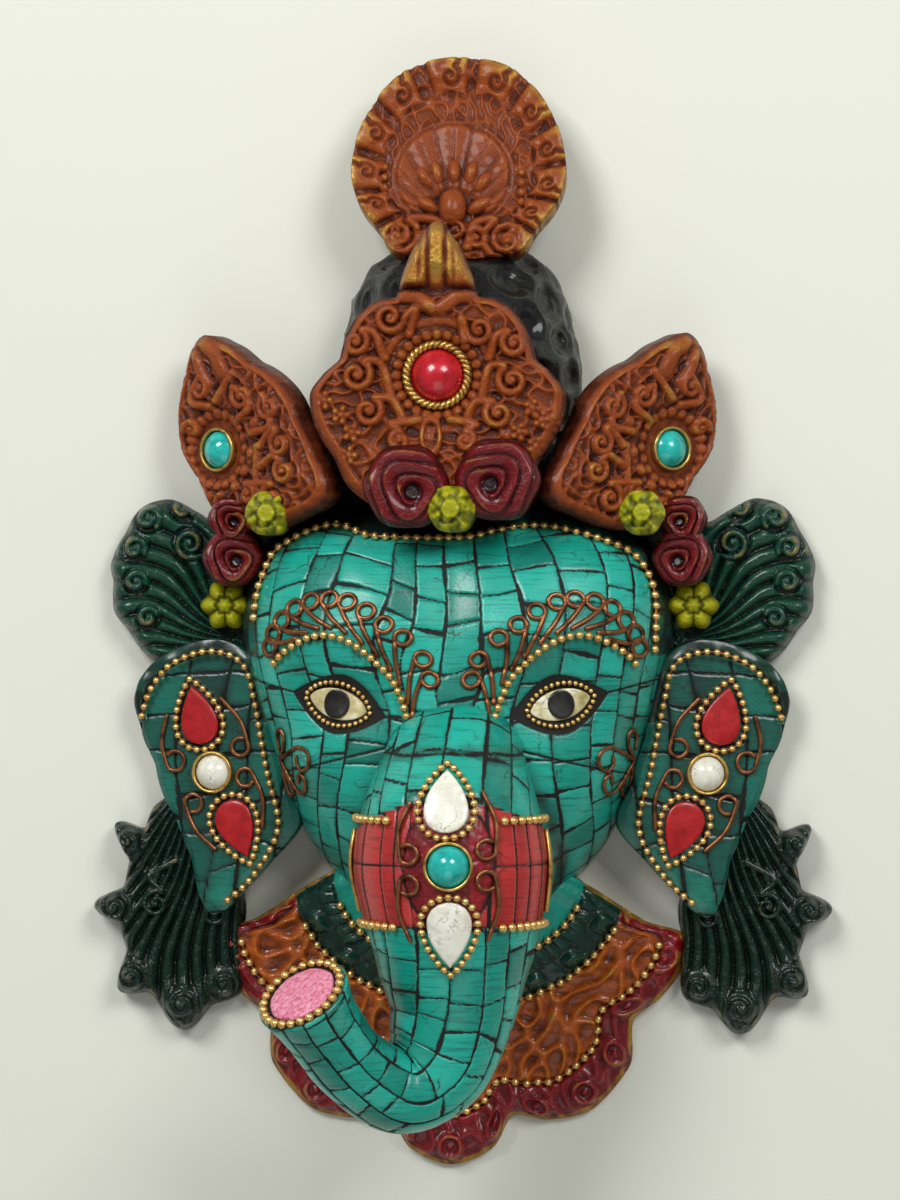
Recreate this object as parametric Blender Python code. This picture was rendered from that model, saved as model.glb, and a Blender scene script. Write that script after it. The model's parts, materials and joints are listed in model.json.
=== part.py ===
"""Wall mask of an elephant-headed deity, lying on its back: face up (+Z), crown toward +Y.

A hollow brass casting carries stones, bezels, bead chains and bent copper wire. The casting's free
forms are drawn in figure units, shares of the mask's height. Walls, beads, wires, stones and
clearances are real sizes. The origin is on the floor, under the middle of the mask.
"""

import math

import bpy
import numpy as np
from mathutils import Vector
from mathutils.bvhtree import BVHTree

# Height of the mask, its height in figure units, and the unit that its free forms are drawn in
MASK_HEIGHT = 0.329
FIGURE_HEIGHT = 329
UNIT = MASK_HEIGHT / FIGURE_HEIGHT

# Casting
WALL = 0.0035
PLATE = 0.0055
FACE_RISE = 0.047
BUN_RISE = 0.040

# Clearance between the casting and what is set on it, and between neighbours
GAP = 0.00035

# Bead chain and copper wire. The finer beads ring the drops and line the ears.
BEAD = 0.0024
FINE_BEAD = 0.9 * BEAD
BEAD_PITCH = 0.0032
WIRE = 0.0012

# Bezels, and the thickness of what is set
BEZEL_WALL = 0.0008
BEZEL_HEIGHT = 0.0022
CABOCHON_RISE = 0.0042
TEAR_THICKNESS = 0.0013
INLAY = 0.0010

# Stones are cut to suit the mask, so their sizes follow its unit
CROWN_STONE = 15.0 * UNIT
LEAF_STONE = 11.0 * UNIT
EAR_STONE = 10.5 * UNIT
TRUNK_STONE = 11.8 * UNIT
TEAR_WIDTH = 11.5 * UNIT
TEAR_LENGTH = 17.5 * UNIT
TRUNK_TEAR_WIDTH = 12.5 * UNIT
TRUNK_TEAR_LENGTH = 19.0 * UNIT
TIP_STONE = 18.6 * UNIT
EYE_LENGTH = 19.0 * UNIT
EYE_HEIGHT = 9.8 * UNIT
PUPIL = 8.0 * UNIT

# Outlines: (degrees, reach in figure units). On a half outline 0 is up, or down for the collar, and
# the other half mirrors it. On a whole outline the degrees run round from outward, with 90 up.
FACE_HALF = ((0, 60), (22, 62), (38, 70), (52, 73.5), (65, 71), (77, 66), (90, 60.8), (105, 57.6),
             (120, 58.4), (135, 61.5), (147, 64), (158, 68), (180, 70))
BUN_HALF = ((0, 41), (20, 41.8), (38, 42), (52, 39.3), (68, 36.5), (90, 35.7), (108, 36.2),
            (122, 40), (132, 53), (148, 50), (180, 44))
DISC_HALF = ((0, 37.2), (20, 37.2), (38, 35.4), (53, 33.6), (70, 32.2), (89, 31.2), (106, 29.4),
             (124, 27.4), (138, 28.6), (160, 25), (180, 24))
FRONT_LEAF_HALF = ((0, 44), (9, 38), (18, 31), (28, 25.2), (38, 27.2), (55, 28.4), (79, 28.2),
                   (90, 33), (99, 37), (112, 37.8), (126, 37.6), (144, 41), (159, 41.5), (180, 39.5))
COLLAR_HALF = ((0, 62), (12, 58.5), (21.5, 50.8), (31, 56.5), (45, 62), (58, 62.3), (71, 57.5),
               (80, 64), (90, 70), (95, 71), (101, 59), (112, 50), (130, 42), (180, 30))
SIDE_LEAF = ((60, 34.5), (48, 32.5), (40, 30), (26, 28.2), (11, 26.4), (-10, 24.4), (-35, 21.5),
             (-62, 24.5), (-94, 27.3), (-129, 30.5), (-150, 35.5), (-169, 26.9), (-196, 21),
             (-232, 20.2), (-263, 21.6), (-286, 28.8))
FAN = ((105, 21), (90, 23.5), (72, 28.5), (58, 29.5), (38, 27), (18, 26.5), (4, 24.6), (-13, 25),
       (-32, 23.2), (-52, 24), (-100, 25), (-135, 31), (-180, 24), (-220, 21))
EAR = ((108, 33.6), (92, 35.4), (74, 34.7), (56, 33.8), (37, 30.7), (22, 25.3), (-9, 18.7),
       (-49, 20.6), (-74, 29.1), (-89, 46), (-104, 38.8), (-125, 33.4), (-143, 32.2), (-164, 22.3),
       (-198, 19), (-228, 23.9))
FOLIAGE = ((90, 34), (73, 31), (62, 26), (50, 32), (38, 21), (18, 19), (0, 27), (-18, 20.5),
           (-36, 21.5), (-53, 32), (-68, 28), (-90, 37), (-107, 30.5), (-120, 31), (-136, 24),
           (-155, 18.5), (-218, 17.5), (-250, 24))

# Places in figure units: x across, y toward the crown, z up from the floor
FACE_AT = (-0.8, -25.0)
BUN_AT = (-0.2, 69.8)
DISC_AT = (0.3, 127.4, 17.5)
FRONT_LEAF_AT = (-4.1, 68.8, 45.0)
SIDE_LEAF_AT = (58.0, 52.2, 25.0)
FAN_AT = (79.8, 7.0)
EAR_AT = (72.9, -43.2, 12.5)
FOLIAGE_AT = (83.0, -87.5)
COLLAR_AT = (-3.2, -102.4)
NECK_AT = (0.0, -78.0)
DISC_TILT = -12.0
DISC_LOBES = 18
SIDE_LEAF_TURN = 34.0
EAR_TURN = 12.0
CROWN_SHIFT = -4.0

# The mound of the crown band under each side leaf
CROWN_BAND_AT = (44.0, 42.0)
CROWN_BAND_REACH = 14.0
CROWN_BAND_TOP = 25.0

# Trunk: x, y, z of its axis and half its width and depth, from root to tip
TRUNK = ((1.5, -20, 12, 14, 12), (1.2, -33, 34, 17, 13), (1.0, -43, 51, 20.5, 14),
         (0.8, -56, 58, 25, 22.5), (0.8, -70, 59, 27.5, 25), (1.4, -84, 58.5, 25.5, 24),
         (1.4, -98, 57, 21.9, 21), (0.6, -114, 55.5, 17.5, 17), (-4, -128, 57, 15, 15),
         (-14, -134.5, 62, 12, 12.5), (-26, -126.5, 71, 10.6, 10.8), (-34, -114, 80.5, 11, 11),
         (-38.3, -105.6, 86.5, 13, 13))
TRUNK_HOLLOW_END = 0.62

# Flowers on the crown band: x, y, foot, top, reach, petals, mirrored on the other side or not
FRONT_FLOWERS = ((-12.7, 36.8, 30, 53, 11.8, 5), (13.5, 38.8, 30, 53, 11.6, 5))
FRONT_BUD = (0.4, 30.2, 31, 55, 6.4, 6)
SIDE_FLOWERS = ((66.2, 16.8, 0, 27, 8.4, 5), (66.5, 28.0, 0, 27.5, 6.5, 5), (54.5, 29.5, 0, 37, 6.2, 6),
                (69.3, 2.6, 0, 17, 6.6, 6))

# Stones in figure units. On the ears and the trunk, places are measured from the round stone there:
# across (outward on an ear), then up. An ear's drops lie in a direction from it, one clearance and a
# slack beyond its bezel, and turn. Its scrolls lie on a side, and across counts from the drops' beads.
LEAF_STONE_AT = (10.0, -3.6)
EAR_STONE_AT = (73.2, -47.0)
EAR_TEARS = (("upper", 74.2, 0.0, -13.0), ("lower", -114.3, 0.8, 158.0))
EAR_SCROLLS = (("outer_upper", 1, (6.45, 16.6), (3.85, 3.2), 3.0, -1),
               ("inner_upper", -1, (-5.55, 21.9), (0.45, 7.6), 2.7, 1),
               ("inner_lower", -1, (7.45, -16.0), (1.95, -1.4), 2.7, -1),
               ("outer_lower", 1, (-8.75, -22.8), (-1.95, -9.3), 2.7, 1))
EAR_CHAIN = ((22.0, 16.5), (19.4, 24.0), (14.1, 30.6), (7.0, 34.6), (-0.2, 36.0), (-7.4, 34.4),
             (-11.4, 30.4), (-13.2, 21.5), (-15.2, 10.0), (-17.4, -1.0), (-20.2, -11.0),
             (-20.4, -17.0), (-17.6, -23.4), (-11.2, -32.2), (-4.6, -38.0))
TRUNK_STONE_AT = (1.8, -69.6)
TRUNK_TEARS = (("upper", 1.0, -51.6, 0.0), ("lower", 2.0, -88.8, 180.0))
TRUNK_SCROLLS = (("upper_left", (-10.8, 17.4), (-11.3, 3.2), 2.7, 1),
                 ("upper_right", (9.4, 20.3), (10.6, 4.6), 2.7, -1),
                 ("lower_left", (-10.8, -21.0), (-11.2, -5.4), 2.7, -1),
                 ("lower_right", (11.0, -20.4), (10.7, -4.0), 2.7, 1))
EYE_AT = (31.9, -26.0)
EYE_TURN = 14.0
BROW = ((51.8, -14.0), (48.4, -10.6), (43.2, -7.4), (37.5, -5.9), (31.6, -6.7), (26.6, -9.3),
        (21.6, -13.5), (17.6, -17.6), (14.8, -22.6), (12.5, -29.2))
FOREHEAD = ((-58.6, -1.0), (-57.6, 7.0), (-55.6, 13.0), (-53.2, 18.0), (-48.3, 21.2), (-43.9, 23.4),
            (-38.7, 25.2), (-33.8, 25.4), (-30.0, 24.0), (-26.0, 22.4), (-20.8, 21.9), (-3.4, 21.7),
            (5.2, 22.0), (11.0, 23.6), (18.2, 24.9), (25.4, 25.2), (32.6, 24.0), (42.7, 21.1),
            (51.0, 17.4), (55.4, 11.6), (57.4, 5.0), (57.6, -2.0), (57.2, -10.0))
BROW_LOOPS = 9
BROW_LOOP_SHAPE = ((-1.3, 3.0), (-2.6, 7.2), (0.0, 9.6), (2.6, 7.2), (1.3, 3.0))
BAND_TOP = -57.5
BAND_FOOT = -87.0
UNDER_TRUNK = 32.0

# How near round a point its seat on the casting is felt for, and from how high, in figure units
NEAR = 1.2
LOOK_DOWN = 200.0

# Sectors of the large forms, the angle that an ear's first one starts at, the rows along the trunk's
# axis, the share of them that runs down the face, and how sharp an edge stays
FACE_SECTORS = 36
PLATE_SECTORS = 24
EAR_START = -84.0
TRUNK_ROWS = 60
SHARE_DOWN = 0.75
SHARP_EDGE = 50.0


def units(size):
    """A real size in figure units."""
    return size / UNIT


def material(name, colour, metallic, roughness):
    """A Principled material: colour is linear red, green and blue."""
    made = bpy.data.materials.new(name)
    made.use_nodes = True
    shader = made.node_tree.nodes["Principled BSDF"]
    shader.inputs["Base Color"].default_value = (*colour, 1.0)
    shader.inputs["Metallic"].default_value = metallic
    shader.inputs["Roughness"].default_value = roughness
    return made


def add_object(name, points, faces, look=None, place=(0.0, 0.0, 0.0), turn=(0.0, 0.0, 0.0)):
    """An object from points in figure units, placed in figure units and turned in degrees."""
    mesh = bpy.data.meshes.new(name)
    mesh.from_pydata([tuple(p) for p in np.asarray(points, float) * UNIT], [], faces)
    mesh.update()
    mesh.shade_smooth()
    mesh.set_sharp_from_angle(angle=math.radians(SHARP_EDGE))
    if look:
        mesh.materials.append(look)
    made = bpy.data.objects.new(name, mesh)
    made.location = Vector(place) * UNIT
    made.rotation_euler = [math.radians(angle) for angle in turn]
    bpy.context.scene.collection.objects.link(made)
    return made


def reach(knots, degrees):
    """The radius of a closed outline at each angle: a smooth curve through its knots, with no
    overshoot, so that a notch stays a notch and a tip stays a tip."""
    ordered = sorted((angle % 360.0, radius) for angle, radius in knots)
    angle = np.array([knot[0] for knot in ordered])
    radius = np.array([knot[1] for knot in ordered])
    angle = np.concatenate([angle - 360, angle, angle + 360])
    radius = np.tile(radius, 3)
    run = np.diff(angle)
    slope = np.diff(radius) / run
    before, after = slope[:-1], slope[1:]
    same = before * after > 0
    middle = np.where(same, 2 * before * after / np.where(same, before + after, 1.0), 0.0)
    tangent = np.concatenate([[0.0], middle, [0.0]])
    at = np.asarray(degrees, float) % 360.0
    i = np.searchsorted(angle, at, side="right") - 1
    t = (at - angle[i]) / run[i]
    return ((2 * t**3 - 3 * t**2 + 1) * radius[i] + (t**3 - 2 * t**2 + t) * run[i] * tangent[i]
            + (3 * t**2 - 2 * t**3) * radius[i + 1] + (t**3 - t**2) * run[i] * tangent[i + 1])


def half_reach(knots, degrees, up):
    """The radius of a mirrored outline. Its knots count from up, or from down for the collar."""
    start = 90.0 if up else -90.0
    away = np.abs((np.asarray(degrees, float) - start + 180.0) % 360.0 - 180.0)
    both = list(knots) + [(-angle, radius) for angle, radius in knots[1:-1]]
    return reach(both, away)


def even_angles(sectors, start=90.0):
    return start + np.arange(sectors) * 360.0 / sectors


def bump(x, y, cx, cy, wide, tall):
    """A smooth mound of height 1 at (cx, cy)."""
    return np.exp(-((x - cx) / wide) ** 2 - ((y - cy) / tall) ** 2)


def polar_solid(name, radius, angles, shares, height, back, place, turn=(0, 0, 0), mirror=False):
    """A closed relief plate: rings at shares of an outline's reach carry the front's height, and
    the back is flat. radius holds the reach at each angle. Mirrored, it faces the other way."""
    sectors = len(angles)
    cos, sin = np.cos(np.radians(angles)), np.sin(np.radians(angles))
    side = -1.0 if mirror else 1.0
    points = [(0.0, 0.0, float(height(0.0, 0.0, 0.0, 90.0)))]
    for share in shares:
        x, y = radius * share * cos, radius * share * sin
        z = height(share, x, y, angles) + 0.0 * x
        points += list(zip(side * x, y, z))
    x, y = radius * cos, radius * sin
    points += list(zip(side * x, y, np.full(sectors, back)))
    faces = []
    rings = len(shares) + 1
    for i in range(sectors):
        j = (i + 1) % sectors
        faces.append((0, 1 + i, 1 + j))
        for ring in range(rings - 1):
            inner, outer = 1 + ring * sectors, 1 + (ring + 1) * sectors
            faces.append((inner + i, outer + i, outer + j, inner + j))
    last = 1 + (rings - 1) * sectors
    points.append((0.0, 0.0, back))
    centre = len(points) - 1
    faces += [(centre, last + (i + 1) % sectors, last + i) for i in range(sectors)]
    if mirror:
        faces = [face[::-1] for face in faces]
        turn = (turn[0], -turn[1], -turn[2])
    return add_object(name, points, faces, None, place, turn)


def curve_through(knots, count, closed=False):
    """Evenly spaced rows on a smooth curve through the knots, whose first three values are places."""
    knots = np.asarray(knots, float)
    ends = (knots[-1:], knots[:2]) if closed else (2 * knots[:1] - knots[1:2], 2 * knots[-1:] - knots[-2:-1])
    body = np.vstack([ends[0], knots, ends[1]])
    rows = []
    for a, b, c, d in zip(body, body[1:], body[2:], body[3:]):
        for t in np.arange(0, 1, 1 / 24):
            rows.append(b + 0.5 * t * (c - a + t * (2 * a - 5 * b + 4 * c - d + t * (3 * (b - c) + d - a))))
    rows.append(body[-2])
    rows = np.array(rows)
    step = np.linalg.norm(np.diff(rows[:, :3], axis=0), axis=1)
    length = np.concatenate([[0.0], np.cumsum(step)])
    at = np.linspace(0, length[-1], count + 1 if closed else count)
    spaced = np.column_stack([np.interp(at, length, rows[:, k]) for k in range(rows.shape[1])])
    return spaced[:-1] if closed else spaced


def path_length(knots, closed=False):
    rows = curve_through(knots, 200, closed)[:, :3]
    if closed:
        rows = np.vstack([rows, rows[:1]])
    return float(np.linalg.norm(np.diff(rows, axis=0), axis=1).sum())


def tangents(points, closed):
    ahead, behind = np.roll(points, -1, axis=0), np.roll(points, 1, axis=0)
    if not closed:
        ahead[-1], behind[0] = points[-1], points[0]
    along = ahead - behind
    return along / np.linalg.norm(along, axis=1)[:, None]


def sweep(name, points, ups, wide, tall, sides, look=None, closed=False, phase=0.0):
    """An elliptical section carried along a path. ups point out of the surface that it lies on."""
    points, ups = np.asarray(points, float), np.asarray(ups, float)
    along = tangents(points, closed)
    across = np.cross(ups, along)
    across /= np.linalg.norm(across, axis=1)[:, None]
    ups = np.cross(along, across)
    turn = np.radians(phase + np.arange(sides) * 360.0 / sides)
    rings = (points[:, None, :]
             + np.asarray(wide)[:, None, None] * np.cos(turn)[None, :, None] * across[:, None, :]
             + np.asarray(tall)[:, None, None] * np.sin(turn)[None, :, None] * ups[:, None, :])
    count = len(points)
    faces = []
    for i in range(count if closed else count - 1):
        this, following = i * sides, (i + 1) % count * sides
        for j in range(sides):
            k = (j + 1) % sides
            faces.append((this + j, this + k, following + k, following + j))
    if not closed:
        faces.append(tuple(range(sides))[::-1])
        faces.append(tuple((count - 1) * sides + j for j in range(sides)))
    return add_object(name, rings.reshape(-1, 3), faces, look)


def hide(helper):
    helper.hide_render = True
    helper.display_type = "WIRE"


def combine(target, name, helpers, operation):
    """Joins all the helpers to the target at once, or cuts them out, with an exact Boolean."""
    group = bpy.data.collections.new(name)
    bpy.context.scene.collection.children.link(group)
    for helper in helpers:
        hide(helper)
        group.objects.link(helper)
        bpy.context.scene.collection.objects.unlink(helper)
    step = target.modifiers.new(name, "BOOLEAN")
    step.operation = operation
    step.solver = "EXACT"
    step.operand_type = "COLLECTION"
    step.collection = group


# The casting's forms

def face_height(share, x, y, angles):
    """The domed forehead and cheeks, with brow ridges, eye sockets and a bridge to the trunk."""
    dome = units(FACE_RISE) * np.sqrt(np.clip(1 - np.clip(share, 0, 1) ** 3.2, 0, 1))
    edge = np.clip(6 * (1 - share), 0, 1)
    relief = 0.0
    for side in (-1, 1):
        relief = relief + 2.4 * bump(x, y, side * 35, 20, 20, 7) - 3.6 * bump(x, y, side * 33, 1, 14, 9)
        relief = relief + 2.2 * bump(x, y, side * 39, -24, 15, 15)
    relief = relief + 3.0 * bump(x, y, 1, -8, 11, 20) - 1.6 * bump(x, y, 0, 35, 7, 16)
    return dome + edge * relief


def bun_height(share, x, y, angles):
    """The knot of hair: a dome with rows of curls."""
    dome = units(BUN_RISE) * np.sqrt(np.clip(1 - np.clip(share, 0, 1) ** 2.3, 0, 1))
    curls = np.cos(np.radians(angles) * 6 + share * 5) * np.clip(share * (1 - share) * 4, 0, 1)
    return dome + 1.3 * curls


def disc_height(share, x, y, angles):
    """The crest: gold lobes round the rim, a groove inside them, and a fan of petals."""
    flute = np.cos(np.radians(angles - 90) * DISC_LOBES)
    rim = np.clip((share - 0.80) / 0.06, 0, 1)
    fan = np.clip((0.74 - share) / 0.06, 0, 1) * np.clip(share / 0.3, 0, 1)
    boss = 2.6 * np.clip(1 - share / 0.3, 0, 1)
    return 1.1 + rim * (1.3 + 0.7 * flute) + fan * (1.2 + 0.7 * flute) + boss


def front_leaf_height(share, x, y, angles):
    """The middle leaf of the crown: a flat seat for the stone, a raised ring and fleshy lobes."""
    away = np.hypot(x, y)
    ring = bump(away, 0, 13.2, 0, 1.6, 1)
    scrolls = 1.3 * np.cos(np.radians(angles - 90) * 7) * np.clip((away - 15) / 4, 0, 1)
    edge = np.clip(8 * (1 - share), 0, 1)
    return 1.4 * ring + edge * (scrolls + 1.6 * np.clip((away - 14) / 5, 0, 1))


def side_leaf_height(share, x, y, angles):
    """A side leaf of the crown: flat round its stone, with curled lobes beyond."""
    away = np.hypot(x - LEAF_STONE_AT[0], y - LEAF_STONE_AT[1])
    far = np.clip((away - 9.5) / 4, 0, 1)
    edge = np.clip(6 * (1 - share), 0, 1)
    return far * edge * (1.6 + 1.0 * np.cos(np.radians(angles) * 6))


def fan_height(share, x, y, angles):
    """A shell of foliage: flutes that spread from the head and roll over at the rim."""
    return 6.4 + 1.8 * share - 4.5 * np.clip((share - 0.8) / 0.2, 0, 1) ** 2 + 1.0 * share * np.cos(
        np.radians(angles) * 11)


def ear_height(share, x, y, angles):
    """An ear: a nearly flat flap under a raised arch."""
    arch = np.clip((share - 0.86) / 0.06, 0, 1) * np.clip((y - 12) / 10, 0, 1)
    return 1.6 * arch - 1.2 * np.clip((share - 0.9) / 0.1, 0, 1) * (1 - np.clip((y - 8) / 8, 0, 1))


def foliage_height(share, x, y, angles):
    """Feathery foliage: flutes that end in rolled knobs."""
    knobs = 0.0
    for degrees, radius in ((50, 26), (0, 20.5), (-53, 26), (-90, 29)):
        cx, cy = radius * math.cos(math.radians(degrees)), radius * math.sin(math.radians(degrees))
        knobs = knobs + 3.0 * bump(x, y, cx, cy, 5.5, 5.5)
    roll = -2.8 * np.clip((share - 0.82) / 0.18, 0, 1) ** 2
    return 6.6 + roll + knobs + 1.0 * np.cos(x * 0.75) * np.clip(1.2 - share, 0, 1)


def collar_height(share, x, y, angles):
    """The collar: bands that step down from the neck to a scalloped hem."""
    neck_x, neck_y = x + COLLAR_AT[0] - NECK_AT[0], y + COLLAR_AT[1] - NECK_AT[1]
    away = np.hypot(neck_x / 50.0, neck_y / 39.0)
    slope = 21.0 - 12.5 * np.clip(away, 0, 1) ** 1.5 - 6.0 * np.clip((away - 1) / 0.75, 0, 1)
    hem = 1.1 * bump(share, 0, 0.88, 0, 0.07, 1)
    return slope + hem - 1.5 * np.clip((share - 0.94) / 0.06, 0, 1)


def flower_height(rise, petals):
    """A flower of round petals about a hollow heart, or a bud."""
    def height(share, x, y, angles):
        petal = np.cos(np.radians(angles - 90) * petals)
        cup = 1 - 0.8 * bump(share, 0, 0, 0, 0.4, 1)
        return rise - 3.5 * share**3 - 2.0 * (1 - cup) + 0.6 * share * petal
    return height


def shrunk(radius, height, wall):
    """The outline and height of the hollow behind a form, one wall inside it."""
    return radius - wall, lambda share, x, y, angles: height(share, x, y, angles) - wall


def depths():
    """How far under the floor each form reaches before the floor cut: no two alike."""
    depth = -8.0
    while True:
        depth -= 0.17
        yield depth


def side_places(place):
    """The right-hand place and its mirror image, with a flag for the mirror."""
    return (("right", place, False), ("left", (-place[0], *place[1:]), True))


def trunk_rows():
    return curve_through(TRUNK, TRUNK_ROWS)


def trunk_ups(points):
    """Directions out of the trunk's front, square to its axis, as it turns up and to the left."""
    along = tangents(points, False)
    across = np.cross(along, np.array([1.0, 0.0, 0.0]))
    ups = across / np.linalg.norm(across, axis=1)[:, None]
    carried = [ups[0]]
    for direction in along[1:]:
        previous = carried[-1] - np.dot(carried[-1], direction) * direction
        carried.append(previous / np.linalg.norm(previous))
    return np.array(carried)


def trunk_solid(name, inset, first, last, count, sides):
    """The trunk, or the hollow in it when inset: part of one swept form."""
    rows = trunk_rows()
    ups = trunk_ups(rows[:, :3])
    pick = np.linspace(first, last, count) * (TRUNK_ROWS - 1)
    rows = np.column_stack([np.interp(pick, range(TRUNK_ROWS), rows[:, k]) for k in range(5)])
    ups = np.column_stack([np.interp(pick, range(TRUNK_ROWS), ups[:, k]) for k in range(3)])
    return sweep(name, rows[:, :3], ups, rows[:, 3] - inset, rows[:, 4] - inset, sides)


def build_casting(look):
    """The whole casting: every form joined, then the hollows and the floor cut away."""
    wall = units(WALL)
    plate = -units(PLATE)
    under = depths()
    angles = even_angles(FACE_SECTORS)
    dome = polar_solid("face_dome", half_reach(FACE_HALF, angles, True), angles,
                       (0.28, 0.52, 0.72, 0.87, 0.96, 1.0), face_height, next(under), (*FACE_AT, 0))
    body = dome.copy()
    body.data = dome.data.copy()
    body.name = "cast_mask"
    body.data.materials.append(look)
    bpy.context.scene.collection.objects.link(body)
    hide(dome)

    forms = [trunk_solid("trunk", 0.0, 0.0, 1.0, 15, 12)]
    angles = even_angles(PLATE_SECTORS)
    forms.append(polar_solid("hair_bun", half_reach(BUN_HALF, angles, True), angles,
                             (0.35, 0.62, 0.82, 0.94, 1.0), bun_height, next(under), (*BUN_AT, 0)))
    angles = even_angles(2 * DISC_LOBES)
    forms.append(polar_solid("crest_disc", half_reach(DISC_HALF, angles, True), angles,
                             (0.3, 0.72, 0.8, 0.87, 1.0), disc_height, plate, DISC_AT,
                             (DISC_TILT, 0, 0)))
    angles = even_angles(28)
    forms.append(polar_solid("front_leaf", half_reach(FRONT_LEAF_HALF, angles, True), angles,
                             (0.3, 0.42, 0.62, 0.84, 1.0), front_leaf_height, plate - 1.5, FRONT_LEAF_AT))
    angles = even_angles(FACE_SECTORS)
    forms.append(polar_solid("collar", half_reach(COLLAR_HALF, angles, False), angles,
                             (0.4, 0.66, 0.86, 1.0), collar_height, next(under), (*COLLAR_AT, 0)))
    for side, (x, y, z), mirror in side_places(SIDE_LEAF_AT):
        angles = even_angles(PLATE_SECTORS)
        forms.append(polar_solid(side + "_leaf", reach(SIDE_LEAF, angles), angles, (0.35, 0.7, 0.86, 1.0),
                                 side_leaf_height, plate - 2.0, (x + CROWN_SHIFT, y, z),
                                 (0, SIDE_LEAF_TURN, 0), mirror))
    for side, (x, y), mirror in side_places(CROWN_BAND_AT):
        forms.append(polar_solid(side + "_crown_band", np.full(12, CROWN_BAND_REACH), even_angles(12),
                                 (0.6, 1.0), lambda share, x, y, a: CROWN_BAND_TOP - 6 * share**2,
                                 next(under), (x + CROWN_SHIFT, y, 0)))
    for side, (x, y), mirror in side_places(FAN_AT):
        angles = even_angles(22)
        forms.append(polar_solid(side + "_fan", reach(FAN, angles), angles, (0.45, 0.8, 1.0), fan_height,
                                 next(under), (x, y, 0), mirror=mirror))
    for side, place, mirror in side_places(EAR_AT):
        angles = even_angles(PLATE_SECTORS, EAR_START)
        forms.append(polar_solid(side + "_ear", reach(EAR, angles), angles, (0.86, 0.93, 1.0),
                                 ear_height, plate, place, (0, EAR_TURN, 0), mirror))
    for side, (x, y), mirror in side_places(FOLIAGE_AT):
        angles = even_angles(26)
        forms.append(polar_solid(side + "_foliage", reach(FOLIAGE, angles), angles, (0.42, 0.78, 1.0),
                                 foliage_height, next(under), (x, y, 0), mirror=mirror))
    flowers = [("front_flower", flower, False) for flower in FRONT_FLOWERS]
    flowers.append(("front_bud", FRONT_BUD, False))
    flowers += [("side_flower", flower, False) for flower in SIDE_FLOWERS]
    flowers += [("side_flower", (-flower[0], *flower[1:]), True) for flower in SIDE_FLOWERS]
    for name, (x, y, foot, top, radius, petals), mirror in flowers:
        angles = even_angles(8)
        back = 0.0 if foot else next(under)
        forms.append(polar_solid(name, np.full(8, radius), angles, (0.5, 1.0),
                                 flower_height(top - foot, petals), back, (x, y, foot), mirror=mirror))
    combine(body, "forms", forms, "UNION")

    hollows = []
    angles = even_angles(FACE_SECTORS // 2)
    radius, height = shrunk(half_reach(FACE_HALF, angles, True), face_height, wall)
    hollows.append(polar_solid("face_hollow", radius, angles, (0.35, 0.65, 0.87, 1.0),
                               lambda s, x, y, a: height(s, x, y, a) - 1.5, next(under), (*FACE_AT, 0)))
    angles = even_angles(PLATE_SECTORS // 2)
    radius, height = shrunk(half_reach(BUN_HALF, angles, True), bun_height, wall)
    hollows.append(polar_solid("bun_hollow", np.minimum(radius, 34.0), angles, (0.5, 0.85, 1.0),
                               lambda s, x, y, a: height(s, x, y, a) - 2.0, next(under), (*BUN_AT, 0)))
    angles = even_angles(FACE_SECTORS // 2)
    radius, height = shrunk(half_reach(COLLAR_HALF, angles, False), collar_height, wall)
    hollows.append(polar_solid("collar_hollow", radius, angles, (0.45, 0.78, 1.0), height,
                               next(under), (*COLLAR_AT, 0)))
    hollows.append(trunk_solid("trunk_hollow", wall + 0.5, 0.02, TRUNK_HOLLOW_END, 8, 12))
    big = 400.0
    corners = [(x, y, z) for z in (-60.0, 0.0) for y in (-big, big) for x in (-big, big)]
    sides = [(0, 2, 3, 1), (4, 5, 7, 6), (0, 1, 5, 4), (2, 6, 7, 3), (0, 4, 6, 2), (1, 3, 7, 5)]
    hollows.append(add_object("floor_cut", corners, sides))
    combine(body, "hollows", hollows, "DIFFERENCE")
    return body


class Surface:
    """Finds the casting's surface, so that applied pieces lie on it."""

    def __init__(self, body):
        bpy.context.view_layer.update()
        self.tree = BVHTree.FromObject(body, bpy.context.evaluated_depsgraph_get())
        self.shift = np.array(body.location) / UNIT

    def hit(self, start, direction):
        place = self.tree.ray_cast(Vector(start - self.shift) * UNIT, Vector(direction))[0]
        return None if place is None else np.array(place) / UNIT + self.shift

    def nearest(self, point):
        return np.array(self.tree.find_nearest(Vector(point - self.shift) * UNIT)[0]) / UNIT + self.shift

    def below(self, x, y, top=LOOK_DOWN):
        """The point of the casting straight under (x, y), looking down from a height."""
        found = self.hit((x, y, top), (0.0, 0.0, -1.0))
        return np.array([x, y, 0.0]) if found is None else found

    def frame(self, x, y, spread=3.0, top=LOOK_DOWN):
        """Where a piece seats at (x, y): its place and its level axes, the last one outward."""
        across = self.below(x + spread, y, top) - self.below(x - spread, y, top)
        along = self.below(x, y + spread, top) - self.below(x, y - spread, top)
        out = np.cross(across, along)
        out /= np.linalg.norm(out)
        across -= np.dot(across, out) * out
        across /= np.linalg.norm(across)
        return self.below(x, y, top), across, np.cross(out, across), out

    def lift(self, frame, a, b):
        """Height over the frame's plane of the highest surface close round (a, b)."""
        place, across, along, out = frame
        heights = []
        for da, db in ((0, 0), (1, 0), (-1, 0), (0, 1), (0, -1)):
            start = place + (a + NEAR * da) * across + (b + NEAR * db) * along + 12.0 * out
            found = self.hit(start, -out)
            if found is not None:
                heights.append(float(np.dot(found - place, out)))
        return max(heights)


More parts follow.
